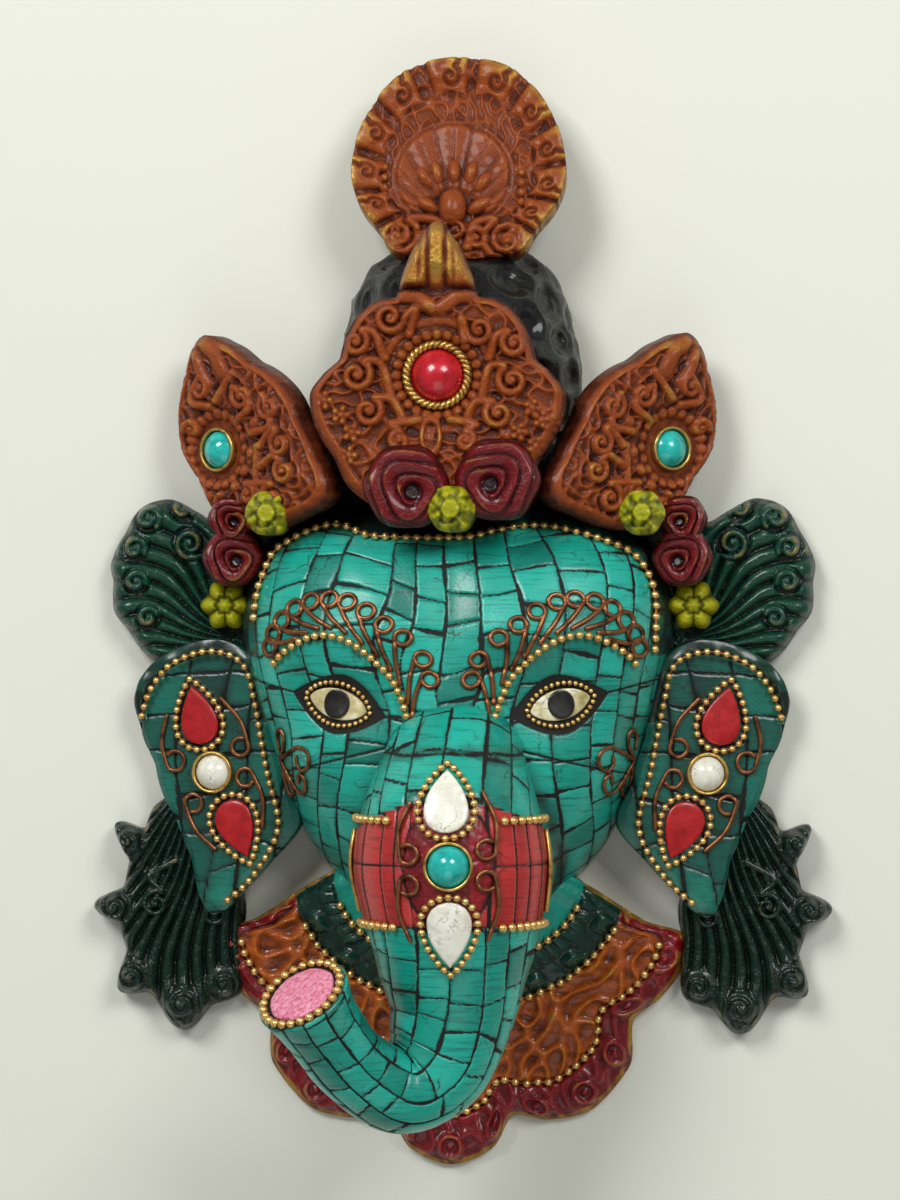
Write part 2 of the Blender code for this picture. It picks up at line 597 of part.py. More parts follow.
def turned(frame, degrees):
    """The frame with its level axes turned anticlockwise."""
    place, across, along, out = frame
    c, s = math.cos(math.radians(degrees)), math.sin(math.radians(degrees))
    return place, c * across + s * along, c * along - s * across, out


def in_frame(frame, rows):
    """World places of rows of (a, b, height) in a frame."""
    place, across, along, out = frame
    rows = np.asarray(rows, float)
    return place + rows[:, :1] * across + rows[:, 1:2] * along + rows[:, 2:3] * out


def moved(surface, frame, a, b):
    """The frame at another point of the same surface, (a, b) away."""
    place, across, along, out = frame
    lift = surface.lift(frame, a, b)
    return place + a * across + b * along + lift * out, across, along, out


def set_stone(name, surface, frame, outline, shares, rise, thickness, look, under=0.0):
    """A stone whose underside follows the casting one gap above it, domed by rise."""
    gap, rise, thickness = units(GAP) + under, units(rise), units(thickness)
    count = len(outline)
    middle = surface.lift(frame, 0, 0) + gap
    rows = [(0, 0, middle + thickness + rise)]
    for share in shares:
        for a, b in outline * share:
            lift = surface.lift(frame, a, b) + gap
            rows.append((a, b, lift + thickness + rise * (1 - share**2)))
    for a, b in outline:
        rows.append((a, b, surface.lift(frame, a, b) + gap))
    rows.append((0, 0, middle))
    rings = len(shares) + 1
    faces = []
    for i in range(count):
        j = (i + 1) % count
        faces.append((0, 1 + i, 1 + j))
        for ring in range(rings - 1):
            inner, outer = 1 + ring * count, 1 + (ring + 1) * count
            faces.append((inner + i, outer + i, outer + j, inner + j))
        last = 1 + (rings - 1) * count
        faces.append((len(rows) - 1, last + j, last + i))
    return add_object(name, in_frame(frame, rows), faces, look)


def ellipse(width, length, count):
    turn = np.radians(even_angles(count))
    return np.column_stack([width / 2 * np.cos(turn), length / 2 * np.sin(turn)])


def teardrop(width, length, count):
    """A drop with its tip up: the widest part is low, and the tip is sharp."""
    turn = np.radians(np.arange(count) * 360.0 / count)
    across = -np.sin(turn) * np.sin(turn / 2) / 0.77
    return np.column_stack([width / 2 * across, length / 2 * np.cos(turn)])


def almond(length, height, count):
    """An eye's outline: two arcs that meet at a corner on each side."""
    turn = np.radians(np.arange(count) * 360.0 / count)
    return np.column_stack([length / 2 * np.cos(turn),
                            height / 2 * np.sin(turn) * np.abs(np.sin(turn)) ** 0.4])


def offset(outline, distance):
    """The outline moved outward."""
    along = np.roll(outline, -1, axis=0) - np.roll(outline, 1, axis=0)
    out = np.column_stack([along[:, 1], -along[:, 0]])
    return outline + distance * out / np.linalg.norm(out, axis=1)[:, None]


def set_bezel(name, surface, frame, outline, look):
    """A band of metal standing on the casting round an outline."""
    gap = units(GAP)
    count = len(outline)
    clearance = gap / math.cos(math.pi / count)
    inner, outer = offset(outline, clearance), offset(outline, clearance + units(BEZEL_WALL))
    rows = []
    for ring, top in ((inner, False), (outer, False), (outer, True), (inner, True)):
        for a, b in ring:
            rows.append((a, b, surface.lift(frame, a, b) + gap + (units(BEZEL_HEIGHT) if top else 0.0)))
    faces = []
    for i in range(count):
        j = (i + 1) % count
        for ring in range(4):
            lower, upper = ring * count, (ring + 1) % 4 * count
            faces.append((lower + i, lower + j, upper + j, upper + i))
    return add_object(name, in_frame(frame, rows), faces, look)


def chain_radii(count):
    """Radii along a bead chain: a bead, then the thin neck that links it to the next."""
    radii = np.full(count, units(BEAD) / 2)
    radii[1::2] *= 0.5
    return radii


def lay(name, surface, frame, knots, diameter, step, look, closed=False, sides=3, beads=False):
    """A wire or a bead chain laid on the casting through (a, b) knots in a frame."""
    flat = np.column_stack([np.asarray(knots, float), np.zeros(len(knots))])
    length = path_length(flat, closed)
    count = max(3, round(length / step))
    if beads:
        count = 2 * max(2, round(length / units(BEAD_PITCH)))
        count = count if closed else count - 1
    path = curve_through(flat, count, closed)
    radii = chain_radii(count) if beads else np.full(count, diameter / 2)
    for row in path:
        row[2] = surface.lift(frame, row[0], row[1]) + units(GAP) + diameter / 2
    ups = np.tile(frame[3], (count, 1))
    return sweep(name, in_frame(frame, path), ups, radii, radii, sides, look, closed, 90.0)


def drape(name, surface, knots, look, beaded, top=LOOK_DOWN):
    """A chain draped over the casting through (x, y) knots, square to the surface."""
    flat = np.column_stack([np.asarray(knots, float), np.zeros(len(knots))])
    pitch = units(BEAD_PITCH)
    length = path_length(flat)
    count = 2 * round(length / pitch) - 1 if beaded else round(length / (2 * pitch))
    places, ups = [], []
    for x, y, _ in curve_through(flat, count):
        place, _, _, out = surface.frame(x, y, 1.6, top)
        places.append(place + out * (units(GAP) + units(BEAD) / 2))
        ups.append(out)
    radii = chain_radii(count) if beaded else np.full(count, units(FINE_BEAD) / 2)
    return sweep(name, places, ups, radii, radii, 3, look, False, -90.0)


def scroll(start, centre, radius, spin):
    """A wire's path: an arm that bends into a loop round a centre, turning with spin."""
    start, centre = np.array(start), np.array(centre)
    toward = centre - start
    away = math.degrees(math.atan2(-toward[1], -toward[0])) + spin * 78.0
    turn = np.radians(away + spin * np.array([0, 60, 120, 180, 235, 285]))
    loop = centre + radius * np.column_stack([np.cos(turn), np.sin(turn)])
    side = loop[0] - start
    middle = start + 0.55 * side + spin * 0.10 * np.array([side[1], -side[0]])
    return np.vstack([start, middle, loop])


def cabochon(name, surface, frame, width, looks, length=None):
    """A domed stone in its bezel."""
    outline = ellipse(units(width), units(length or width), 10)
    set_stone(name + "_stone", surface, frame, outline, (0.6, 1.0), CABOCHON_RISE - INLAY, INLAY,
              looks["stone"])
    set_bezel(name + "_bezel", surface, frame, outline, looks["brass"])


def ringed_tear(name, surface, frame, width, length, looks, stone):
    """A flat drop of stone with a bead chain round it."""
    width, length = units(width), units(length)
    set_stone(name + "_tear", surface, frame, teardrop(width, length, 10), (1.0,), 0.0, TEAR_THICKNESS,
              looks[stone])
    reach_out = units(BEAD) / 2 + units(GAP)
    round_it = offset(teardrop(width, length, 14), reach_out + 0.3)
    round_it[0] = (0.0, length / 2 + 1.2 * reach_out)
    lay(name + "_tear_beads", surface, frame, round_it, units(FINE_BEAD), 3.6, looks["bead"], True)


def dress_crown(surface, looks):
    x, y, _ = FRONT_LEAF_AT
    cabochon("crown", surface, surface.frame(x, y), CROWN_STONE, dict(looks, stone=looks["red"]))
    a, b = LEAF_STONE_AT
    turn = math.radians(SIDE_LEAF_TURN)
    for side, sign in (("left", -1), ("right", 1)):
        x = sign * (SIDE_LEAF_AT[0] + a * math.cos(turn)) + CROWN_SHIFT
        frame = surface.frame(x, SIDE_LEAF_AT[1] + b)
        cabochon(side + "_leaf", surface, frame, LEAF_STONE, dict(looks, stone=looks["turquoise"]))


def dress_ears(surface, looks):
    """A stone, two drops, four scrolls and an edge chain on each ear."""
    beyond = units(EAR_STONE / 2 + BEZEL_WALL + 2 * GAP + FINE_BEAD + TEAR_LENGTH / 2)
    spread = units(TEAR_WIDTH / 2 + BEAD)
    for side, sign in (("left", -1), ("right", 1)):
        frame = surface.frame(sign * EAR_STONE_AT[0], EAR_STONE_AT[1])
        ear = side + "_ear"
        cabochon(ear, surface, frame, EAR_STONE, dict(looks, stone=looks["white"]))
        for which, toward, slack, turn in EAR_TEARS:
            a = (beyond + slack) * math.cos(math.radians(toward))
            b = (beyond + slack) * math.sin(math.radians(toward))
            seat = turned(moved(surface, frame, sign * a, b), sign * turn)
            ringed_tear(f"{ear}_{which}", surface, seat, TEAR_WIDTH, TEAR_LENGTH, looks, "red")
        for which, half, start, centre, radius, spin in EAR_SCROLLS:
            start = (half * (spread + start[0]), start[1])
            centre = (half * (spread + centre[0]), centre[1])
            knots = scroll(start, centre, radius, spin)
            lay(f"{ear}_{which}_scroll", surface, frame, knots * (sign, 1), units(WIRE), 3.2, looks["copper"])
        chain = np.array(EAR_CHAIN) * (sign, 1)
        lay(ear + "_bead_chain", surface, frame, chain, units(FINE_BEAD), 5.0, looks["bead"])


def dress_trunk(surface, looks):
    frame = surface.frame(*TRUNK_STONE_AT)
    cabochon("trunk", surface, frame, TRUNK_STONE, dict(looks, stone=looks["turquoise"]))
    for which, x, y, turn in TRUNK_TEARS:
        seat = turned(surface.frame(x, y), turn)
        ringed_tear(f"trunk_{which}", surface, seat, TRUNK_TEAR_WIDTH, TRUNK_TEAR_LENGTH, looks, "white")
    for which, start, centre, radius, spin in TRUNK_SCROLLS:
        knots = scroll(start, centre, radius, spin)
        lay(f"trunk_{which}_scroll", surface, frame, knots, units(WIRE), 3.2, looks["copper"])
    dress_band(surface, looks)
    dress_tip(surface, looks)


def on_trunk(surface, y, degrees, clearance):
    """A point clear of the trunk at a height of the mask, degrees round from its right side."""
    rows = trunk_rows()
    ups = trunk_ups(rows[:, :3])
    forward = rows[:round(SHARE_DOWN * len(rows))]
    c, s = math.cos(math.radians(degrees)), math.sin(math.radians(degrees))
    spread = np.zeros(3)
    for _ in range(4):
        axis_y = y - spread[1]
        at = np.interp(-axis_y, -forward[:, 1], np.arange(len(forward)))
        x, _, z, wide, tall = (np.interp(at, range(TRUNK_ROWS), rows[:, k]) for k in range(5))
        up = np.array([np.interp(at, range(TRUNK_ROWS), ups[:, k]) for k in range(3)])
        spread = np.array([wide * c, 0.0, 0.0]) + tall * s * up
    out = spread / np.array([wide, tall, tall])
    out /= np.linalg.norm(out)
    near = surface.nearest(np.array([x, axis_y, z]) + spread)
    return near + clearance * out, out


def dress_band(surface, looks):
    """Bead strips along the coral band's edges, and the brass plates at its ends."""
    bead = units(BEAD)
    for name, (low, high), y in (("upper", (53, 16), BAND_TOP), ("lower", (55, 18), BAND_FOOT)):
        for side, mirror in (("right", False), ("left", True)):
            pairs = []
            for degrees in np.linspace(low, high, 5):
                turn = 180 - degrees if mirror else degrees
                pairs.append(on_trunk(surface, y, turn, units(GAP) + bead / 2))
            places, ups = zip(*pairs)
            radii = np.full(5, units(FINE_BEAD) / 2)
            sweep(f"trunk_{name}_{side}_band_beads", places, ups, radii, radii, 4, looks["bead"], False, 45.0)
    for side, degrees in (("right", 4), ("left", 176)):
        pairs = [on_trunk(surface, y, degrees, units(GAP) + 0.6)
                 for y in np.linspace(BAND_TOP - 3, BAND_FOOT + 4, 7)]
        places, ups = zip(*pairs)
        wide = 0.6 + 1.9 * np.sin(np.linspace(0, math.pi, 7))
        sweep(f"trunk_{side}_band_plate", places, ups, wide, np.full(7, 0.5), 4, looks["brass"], False, 45.0)


def dress_tip(surface, looks):
    """The pink stone on the trunk's cut end, in its ring of beads."""
    rows = trunk_rows()
    along = tangents(rows[:, :3], False)[-1]
    up = trunk_ups(rows[:, :3])[-1]
    frame = (rows[-1, :3], np.cross(up, along), up, along)
    outline = ellipse(units(TIP_STONE), units(TIP_STONE), 12)
    set_stone("trunk_tip_stone", surface, frame, outline, (0.6, 1.0), 0.0009, INLAY, looks["pink"])
    ring = ellipse(*(2 * (rows[-1, 3:5] - units(BEAD) / 2 - 0.2)), 16)
    lay("trunk_tip_beads", surface, frame, ring, units(FINE_BEAD), 5.0, looks["bead"], True, 4)


def dress_face(surface, looks):
    for side, sign in (("left", -1), ("right", 1)):
        x, y = EYE_AT
        frame = turned(surface.frame(sign * x - 1.0, y, 4.0), sign * EYE_TURN)
        outline = almond(units(EYE_LENGTH), units(EYE_HEIGHT), 12)
        set_stone(side + "_eye_white", surface, frame, outline, (0.6, 1.0), 0.0008, INLAY, looks["white"])
        disc = ellipse(units(PUPIL), units(PUPIL), 8)
        under = units(INLAY + 0.0008 + GAP)
        set_stone(side + "_pupil", surface, frame, disc, (1.0,), 0.0, 0.0006, looks["black"], under)
        brow = np.array(BROW) * (sign, 1)
        drape(side + "_brow_beads", surface, brow, looks["bead"], True)
        lay_feather(side + "_brow_wire", surface, brow, sign, looks["copper"])
    drape("forehead_beads", surface, FOREHEAD, looks["bead"], True)


def lay_feather(name, surface, brow, sign, look):
    """A copper wire that rises in loops over a brow, one after another along its bead chain."""
    flat = np.column_stack([brow, np.zeros(len(brow))])
    line = curve_through(flat, 80)[:, :2]
    along = tangents(np.column_stack([line, np.zeros(80)]), False)[:, :2]
    out = np.column_stack([along[:, 1], -along[:, 0]]) * sign
    step = 79.0 / BROW_LOOPS
    rows = []
    for loop in range(BROW_LOOPS):
        middle = (loop + 0.5) * step
        for shift, height in BROW_LOOP_SHAPE:
            at = middle + shift
            base = np.array([np.interp(at, range(80), line[:, k]) for k in (0, 1)])
            away = np.array([np.interp(at, range(80), out[:, k]) for k in (0, 1)])
            x, y = base + away * height
            place, _, _, up = surface.frame(x, y, 1.6)
            rows.append((*(place + up * (units(GAP) + units(WIRE) / 2)), *up))
    rows = np.array(rows)
    radii = np.full(len(rows), units(WIRE) / 2)
    return sweep(name, rows[:, :3], rows[:, 3:], radii, radii, 3, look, False, 90.0)


def dress_collar(surface, looks):
    """Three chains that pass under the trunk: two round the neck and one along the hem."""
    x, y = NECK_AT
    for name, wide, tall, first, last in (("inner", 37, 26, 199, 341), ("middle", 50, 39, 203, 337)):
        turn = np.radians(np.linspace(first, last, 9))
        knots = np.column_stack([x + wide * np.cos(turn), y + tall * np.sin(turn)])
        drape(f"collar_{name}_beads", surface, knots, looks["bead"], False, UNDER_TRUNK)
    degrees = np.linspace(176, 364, 22)
    radius = half_reach(COLLAR_HALF, degrees, False) * (0.76 + 0.12 * np.abs((degrees - 270) / 94) ** 2)
    turn = np.radians(degrees)
    x, y = COLLAR_AT
    knots = np.column_stack([x + radius * np.cos(turn), y + radius * np.sin(turn)])
    drape("collar_outer_beads", surface, knots, looks["bead"], False, UNDER_TRUNK)


def clear_scene():
    for item in list(bpy.data.objects):
        bpy.data.objects.remove(item, do_unlink=True)


def main():
    clear_scene()
    looks = {
        "brass": material("bezel_brass", (0.60, 0.38, 0.12), 1.0, 0.3),
        "bead": material("bead_brass", (0.66, 0.43, 0.15), 1.0, 0.25),
        "copper": material("copper_wire", (0.26, 0.09, 0.05), 1.0, 0.4),
        "red": material("coral_stone", (0.55, 0.02, 0.02), 0.0, 0.3),
        "white": material("white_stone", (0.80, 0.80, 0.66), 0.0, 0.35),
        "turquoise": material("turquoise_stone", (0.02, 0.53, 0.48), 0.0, 0.25),
        "pink": material("pink_stone", (0.70, 0.16, 0.25), 0.0, 0.5),
        "black": material("black_stone", (0.01, 0.01, 0.01), 0.0, 0.3),
    }
    surface = Surface(build_casting(material("cast_brass", (0.55, 0.36, 0.13), 1.0, 0.4)))
    dress_crown(surface, looks)
    dress_ears(surface, looks)
    dress_trunk(surface, looks)
    dress_face(surface, looks)
    dress_collar(surface, looks)


if __name__ == "__main__":
    main()
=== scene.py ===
"""Looks of a lying mask of an elephant-headed deity: painted and worn cast brass, chip mosaic of
turquoise and coral in dark resin, brass ball chain, bent copper wire and stones in bezels.

Lengths in the code are millimetres unless a name says otherwise, and turn to metres in add_mesh.
"""

import json
import math
from functools import partial

import bmesh
import bpy
import numpy as np
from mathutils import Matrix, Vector
from mathutils.bvhtree import BVHTree

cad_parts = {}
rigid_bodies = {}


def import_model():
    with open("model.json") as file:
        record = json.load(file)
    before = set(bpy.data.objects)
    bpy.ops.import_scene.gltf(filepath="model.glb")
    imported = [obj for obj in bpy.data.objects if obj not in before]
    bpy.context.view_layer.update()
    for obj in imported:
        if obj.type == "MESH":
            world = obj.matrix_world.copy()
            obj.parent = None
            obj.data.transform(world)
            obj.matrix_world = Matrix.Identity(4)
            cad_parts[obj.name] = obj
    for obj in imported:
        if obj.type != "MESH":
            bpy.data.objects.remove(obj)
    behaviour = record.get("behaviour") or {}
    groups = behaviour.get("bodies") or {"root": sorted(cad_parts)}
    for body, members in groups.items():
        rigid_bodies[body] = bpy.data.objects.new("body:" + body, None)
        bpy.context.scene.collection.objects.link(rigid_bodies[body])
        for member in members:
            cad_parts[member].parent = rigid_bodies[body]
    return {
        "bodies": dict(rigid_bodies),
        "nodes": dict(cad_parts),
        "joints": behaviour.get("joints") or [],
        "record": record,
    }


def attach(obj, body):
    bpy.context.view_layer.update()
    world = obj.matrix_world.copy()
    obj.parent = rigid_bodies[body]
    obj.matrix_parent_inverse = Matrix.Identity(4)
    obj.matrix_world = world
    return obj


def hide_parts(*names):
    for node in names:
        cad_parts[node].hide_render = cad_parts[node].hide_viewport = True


bl_info = {
    "name": "Elephant mask looks",
    "version": (1, 0, 0),
    "blender": (4, 5, 0),
    "location": "View3D > Sidebar > Mask",
    "description": "Builds the mosaic, relief, beads, wires and stones of a cast wall mask",
    "category": "Object",
}

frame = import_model()

# Outlines as (degrees, reach in mm), as the casting has them
FACE_HALF = ((0, 60), (22, 62), (38, 70), (52, 73.5), (65, 71), (77, 66), (90, 60.8), (105, 57.6),
             (120, 58.4), (135, 61.5), (147, 64), (158, 68), (180, 70))
BUN_HALF = ((0, 41), (20, 41.8), (38, 42), (52, 39.3), (68, 36.5), (90, 35.7), (108, 36.2),
            (122, 40), (132, 53), (148, 50), (180, 44))
DISC_HALF = ((0, 37.2), (20, 37.2), (38, 35.4), (53, 33.6), (70, 32.2), (89, 31.2), (106, 29.4),
             (124, 27.4), (138, 28.6), (160, 25), (180, 24))
FRONT_LEAF_HALF = ((0, 44), (9, 38), (18, 31), (28, 25.2), (38, 27.2), (55, 28.4), (79, 28.2),
                   (90, 33), (99, 37), (112, 37.8), (126, 37.6), (144, 41), (159, 41.5), (180, 39.5))
COLLAR_HALF = ((0, 62), (12, 58.5), (21.5, 50.8), (31, 56.5), (45, 62), (58, 62.3), (71, 57.5),
               (80, 64), (90, 70), (95, 71), (101, 59), (112, 50), (130, 42), (180, 30))
SIDE_LEAF = ((60, 34.5), (48, 32.5), (40, 30), (26, 28.2), (11, 26.4), (-10, 24.4), (-35, 21.5),
             (-62, 24.5), (-94, 27.3), (-129, 30.5), (-150, 35.5), (-169, 26.9), (-196, 21),
             (-232, 20.2), (-263, 21.6), (-286, 28.8))
FAN = ((105, 21), (90, 23.5), (72, 28.5), (58, 29.5), (38, 27), (18, 26.5), (4, 24.6), (-13, 25),
       (-32, 23.2), (-52, 24), (-100, 25), (-135, 31), (-180, 24), (-220, 21))
EAR = ((108, 33.6), (92, 35.4), (74, 34.7), (56, 33.8), (37, 30.7), (22, 25.3), (-9, 18.7),
       (-49, 20.6), (-74, 29.1), (-89, 46), (-104, 38.8), (-125, 33.4), (-143, 32.2), (-164, 22.3),
       (-198, 19), (-228, 23.9))
FOLIAGE = ((90, 34), (73, 31), (62, 26), (50, 32), (38, 21), (18, 19), (0, 27), (-18, 20.5),
           (-36, 21.5), (-53, 32), (-68, 28), (-90, 37), (-107, 30.5), (-120, 31), (-136, 24),
           (-155, 18.5), (-218, 17.5), (-250, 24))

# Places in mm, with the turn in degrees where a plate leans
FACE_AT = (-0.8, -25.0, 0.0)
BUN_AT = (-0.2, 69.8, 0.0)
DISC_AT = (0.3, 127.4, 17.5)
FRONT_LEAF_AT = (-4.1, 68.8, 45.0)
SIDE_LEAF_AT = (58.0, 52.2, 25.0)
FAN_AT = (79.8, 7.0, 0.0)
EAR_AT = (72.9, -43.2, 12.5)
FOLIAGE_AT = (83.0, -87.5, 0.0)
COLLAR_AT = (-3.2, -102.4, 0.0)
NECK_AT = (0.0, -78.0)
DISC_TILT = -12.0
SIDE_LEAF_TURN = 34.0
EAR_TURN = 12.0
CROWN_SHIFT = -4.0
CROWN_BAND = (44.0, 42.0, 14.0, 25.0)

# Domes as (height, power) of height * sqrt(1 - share^power)
FACE_DOME = (47.0, 3.2)
BUN_DOME = (40.0, 2.3)

# Trunk: x, y, z of its axis and half its width and depth, from root to tip
TRUNK = ((1.5, -20, 12, 14, 12), (1.2, -33, 34, 17, 13), (1.0, -43, 51, 20.5, 14),
         (0.8, -56, 58, 25, 22.5), (0.8, -70, 59, 27.5, 25), (1.4, -84, 58.5, 25.5, 24),
         (1.4, -98, 57, 21.9, 21), (0.6, -114, 55.5, 17.5, 17), (-4, -128, 57, 15, 15),
         (-14, -134.5, 62, 12, 12.5), (-26, -126.5, 71, 10.6, 10.8), (-34, -114, 80.5, 11, 11),
         (-38.3, -105.6, 86.5, 13, 13))

# Heights of the seam at the trunk's root and of the foot of its coral band
ROOT_SEAM = -39.5
BAND_FOOT = -87.0
TRUNK_ROWS = 290

# Width and length of a chip on the trunk and on the ears
TRUNK_CHIP = (9.0, 10.0)
EAR_CHIP = (11.5, 12.5)

# Flowers: x, y, foot, top, reach
RED_FLOWERS = ((-12.7, 36.8, 30, 53, 11.8), (13.5, 38.8, 30, 53, 11.6), (66.2, 16.8, 6, 27, 8.4),
               (-66.2, 16.8, 6, 27, 8.4), (66.5, 28.0, 6, 27.5, 6.5), (-66.5, 28.0, 6, 27.5, 6.5))
BUDS = ((0.4, 30.2, 31, 55, 6.4), (54.5, 29.5, 6, 37, 6.2), (-54.5, 29.5, 6, 37, 6.2))
DAISIES = ((69.3, 2.6, 6, 17, 6.6), (-69.3, 2.6, 6, 17, 6.6))

# Rolled tabs round the crest disc, as degrees from its top, and curled knobs on the foliage's rim
DISC_TABS = (-133.0, -109.0, -86.0, -61.0, -34.0, -6.0, 19.0, 45.0, 70.0, 93.0, 115.0, 138.0)
KNOBS = ((16.7, 19.9), (20.5, 0.0), (15.6, -20.8), (0.0, -29.0), (-12.1, -23.1))

# Seats of the stones, drops, scrolls and chains on the crown, ears, trunk and face
LEAF_STONE_AT = (10.0, -3.6)
EAR_STONE_AT = (0.3, -3.8)
EAR_TEARS = (("upper", 4.8, 17.0, -13.0), ("lower", -7.6, -16.8, 158.0))
EAR_SCROLLS = (("outer_upper", (14.6, 16.6), (12.0, 3.2), 3.0, -1),
               ("inner_upper", (-2.6, 21.9), (-8.6, 7.6), 2.7, 1),
               ("inner_lower", (-15.6, -16.0), (-10.1, -1.4), 2.7, -1),
               ("outer_lower", (-0.6, -22.8), (6.2, -9.3), 2.7, 1))
EAR_CHAIN = ((22.0, 16.5), (19.4, 24.0), (14.1, 30.6), (7.0, 34.6), (-0.2, 36.0), (-7.4, 34.4),
             (-11.4, 30.4), (-13.2, 21.5), (-15.2, 10.0), (-17.4, -1.0), (-20.2, -11.0),
             (-20.4, -17.0), (-17.6, -23.4), (-11.2, -32.2), (-4.6, -38.0))
TRUNK_STONE_AT = (1.8, -69.6)
TRUNK_TEARS = (("upper", 1.0, -51.6, 0.0), ("lower", 2.0, -88.8, 180.0))
TRUNK_SCROLLS = (("upper_left", (-10.8, 17.4), (-11.3, 3.2), 2.7, 1),
                 ("upper_right", (9.4, 20.3), (10.6, 4.6), 2.7, -1),
                 ("lower_left", (-10.8, -21.0), (-11.2, -5.4), 2.7, -1),
                 ("lower_right", (11.0, -20.4), (10.7, -4.0), 2.7, 1))
EYE_AT = (31.9, -26.0)
EYE_TURN = 14.0
EYE_SIZE = (18.4, 8.8)
BROW = ((51.8, -14.0), (48.4, -10.6), (43.2, -7.4), (37.5, -5.9), (31.6, -6.7), (26.6, -9.3),
        (21.6, -13.5), (17.6, -17.6), (14.8, -22.6), (12.5, -29.2))
FOREHEAD = ((-58.6, -1.0), (-57.6, 7.0), (-55.6, 13.0), (-53.2, 18.0), (-48.3, 21.2), (-43.9, 23.4),
            (-38.7, 25.2), (-33.8, 25.4), (-30.0, 24.0), (-26.0, 22.4), (-20.8, 21.9), (-3.4, 21.7),
            (5.2, 22.0), (11.0, 23.6), (18.2, 24.9), (25.4, 25.2), (32.6, 24.0), (42.7, 21.1),
            (51.0, 17.4), (55.4, 11.6), (57.4, 5.0), (57.6, -2.0), (57.2, -10.0))

# How far each dressed skin stands over the casting
SKIN = 0.45


# Curves and outlines

def reach(knots, degrees):
    """Radius of a closed outline at each angle: piecewise cubics through the knots whose slopes are
    the harmonic mean of the neighbouring chords, so no lobe overshoots."""
    ordered = sorted((angle % 360.0, radius) for angle, radius in knots)
    angle = np.array([knot[0] for knot in ordered])
    radius = np.tile([knot[1] for knot in ordered], 3).astype(float)
    angle = np.concatenate([angle - 360, angle, angle + 360])
    run = np.diff(angle)
    slope = np.diff(radius) / run
    before, after = slope[:-1], slope[1:]
    same = before * after > 0
    middle = np.where(same, 2 * before * after / np.where(same, before + after, 1.0), 0.0)
    tangent = np.concatenate([[0.0], middle, [0.0]])
    at = np.asarray(degrees, float) % 360.0
    i = np.searchsorted(angle, at, side="right") - 1
    t = (at - angle[i]) / run[i]
    return ((2 * t**3 - 3 * t**2 + 1) * radius[i] + (t**3 - 2 * t**2 + t) * run[i] * tangent[i]
            + (3 * t**2 - 2 * t**3) * radius[i + 1] + (t**3 - t**2) * run[i] * tangent[i + 1])


def half_reach(knots, degrees, up=True):
    """Radius of a mirrored outline whose knots count from up, or from down."""
    start = 90.0 if up else -90.0
    away = np.abs((np.asarray(degrees, float) - start + 180.0) % 360.0 - 180.0)
    return reach(list(knots) + [(-angle, radius) for angle, radius in knots[1:-1]], away)


def bump(x, y, cx, cy, wide, tall):
    """A mound exp(-dx^2 - dy^2), 1 at its top."""
    return np.exp(-((x - cx) / wide) ** 2 - ((y - cy) / tall) ** 2)


def step(x, low, high):
    """0 below low, 1 above high, and 3t^2 - 2t^3 between."""
    t = np.clip((x - low) / (high - low), 0, 1)
    return t * t * (3 - 2 * t)


def curve_through(knots, count, closed=False):
    """Evenly spaced rows on a Catmull-Rom curve, whose first three values are places."""
    knots = np.asarray(knots, float)
    ends = (knots[-1:], knots[:2]) if closed else (2 * knots[:1] - knots[1:2], 2 * knots[-1:] - knots[-2:-1])
    body = np.vstack([ends[0], knots, ends[1]])
    t = np.arange(0, 1, 1 / 24)[None, :, None]
    a, b, c, d = (body[k:len(body) - 3 + k, None, :] for k in range(4))
    rows = b + 0.5 * t * (c - a + t * (2 * a - 5 * b + 4 * c - d + t * (3 * (b - c) + d - a)))
    rows = np.vstack([rows.reshape(-1, knots.shape[1]), body[-2:-1]])
    length = np.concatenate([[0.0], np.cumsum(np.linalg.norm(np.diff(rows[:, :3], axis=0), axis=1))])
    at = np.linspace(0, length[-1], count + 1 if closed else count)
    spaced = np.column_stack([np.interp(at, length, rows[:, k]) for k in range(rows.shape[1])])
    return spaced[:-1] if closed else spaced


def flat_curve(knots, count):
    """Evenly spaced points on the curve through knots of (x, y)."""
    return curve_through(np.column_stack([knots, np.zeros(len(knots))]), count)[:, :2]


def path_length(knots, closed=False):
    rows = curve_through(knots, 400, closed)[:, :3]
    if closed:
        rows = np.vstack([rows, rows[:1]])
    return float(np.linalg.norm(np.diff(rows, axis=0), axis=1).sum())


def even(knots, pitch, closed=False):
    """Points one pitch apart on the curve through knots of (x, y)."""
    flat = np.column_stack([np.asarray(knots, float), np.zeros(len(knots))])
    count = max(3, round(path_length(flat, closed) / pitch))
    return curve_through(flat, count if closed else count + 1, closed)[:, :2]


def tangents(points, closed=False):
    ahead, behind = np.roll(points, -1, axis=0), np.roll(points, 1, axis=0)
    if not closed:
        ahead[-1], behind[0] = points[-1], points[0]
    along = ahead - behind
    return along / np.linalg.norm(along, axis=1)[:, None]


def unit(vectors):
    return vectors / np.maximum(np.linalg.norm(vectors, axis=-1, keepdims=True), 1e-9)


def away_from(x, y, path):
    """Distance of each point to a polyline, as the least distance to any of its segments, with how
    far along the line it lies, 0 to 1."""
    path = np.asarray(path, float)
    best = np.full(np.shape(x), 1e9)
    where = np.zeros(np.shape(x))
    count = len(path) - 1
    for k in range(count):
        (ax, ay), (bx, by) = path[k], path[k + 1]
        dx, dy = bx - ax, by - ay
        t = np.clip(((x - ax) * dx + (y - ay) * dy) / max(dx * dx + dy * dy, 1e-9), 0, 1)
        d = np.hypot(x - ax - t * dx, y - ay - t * dy)
        near = d < best
        best = np.where(near, d, best)
        where = np.where(near, (k + t) / count, where)
    return best, where


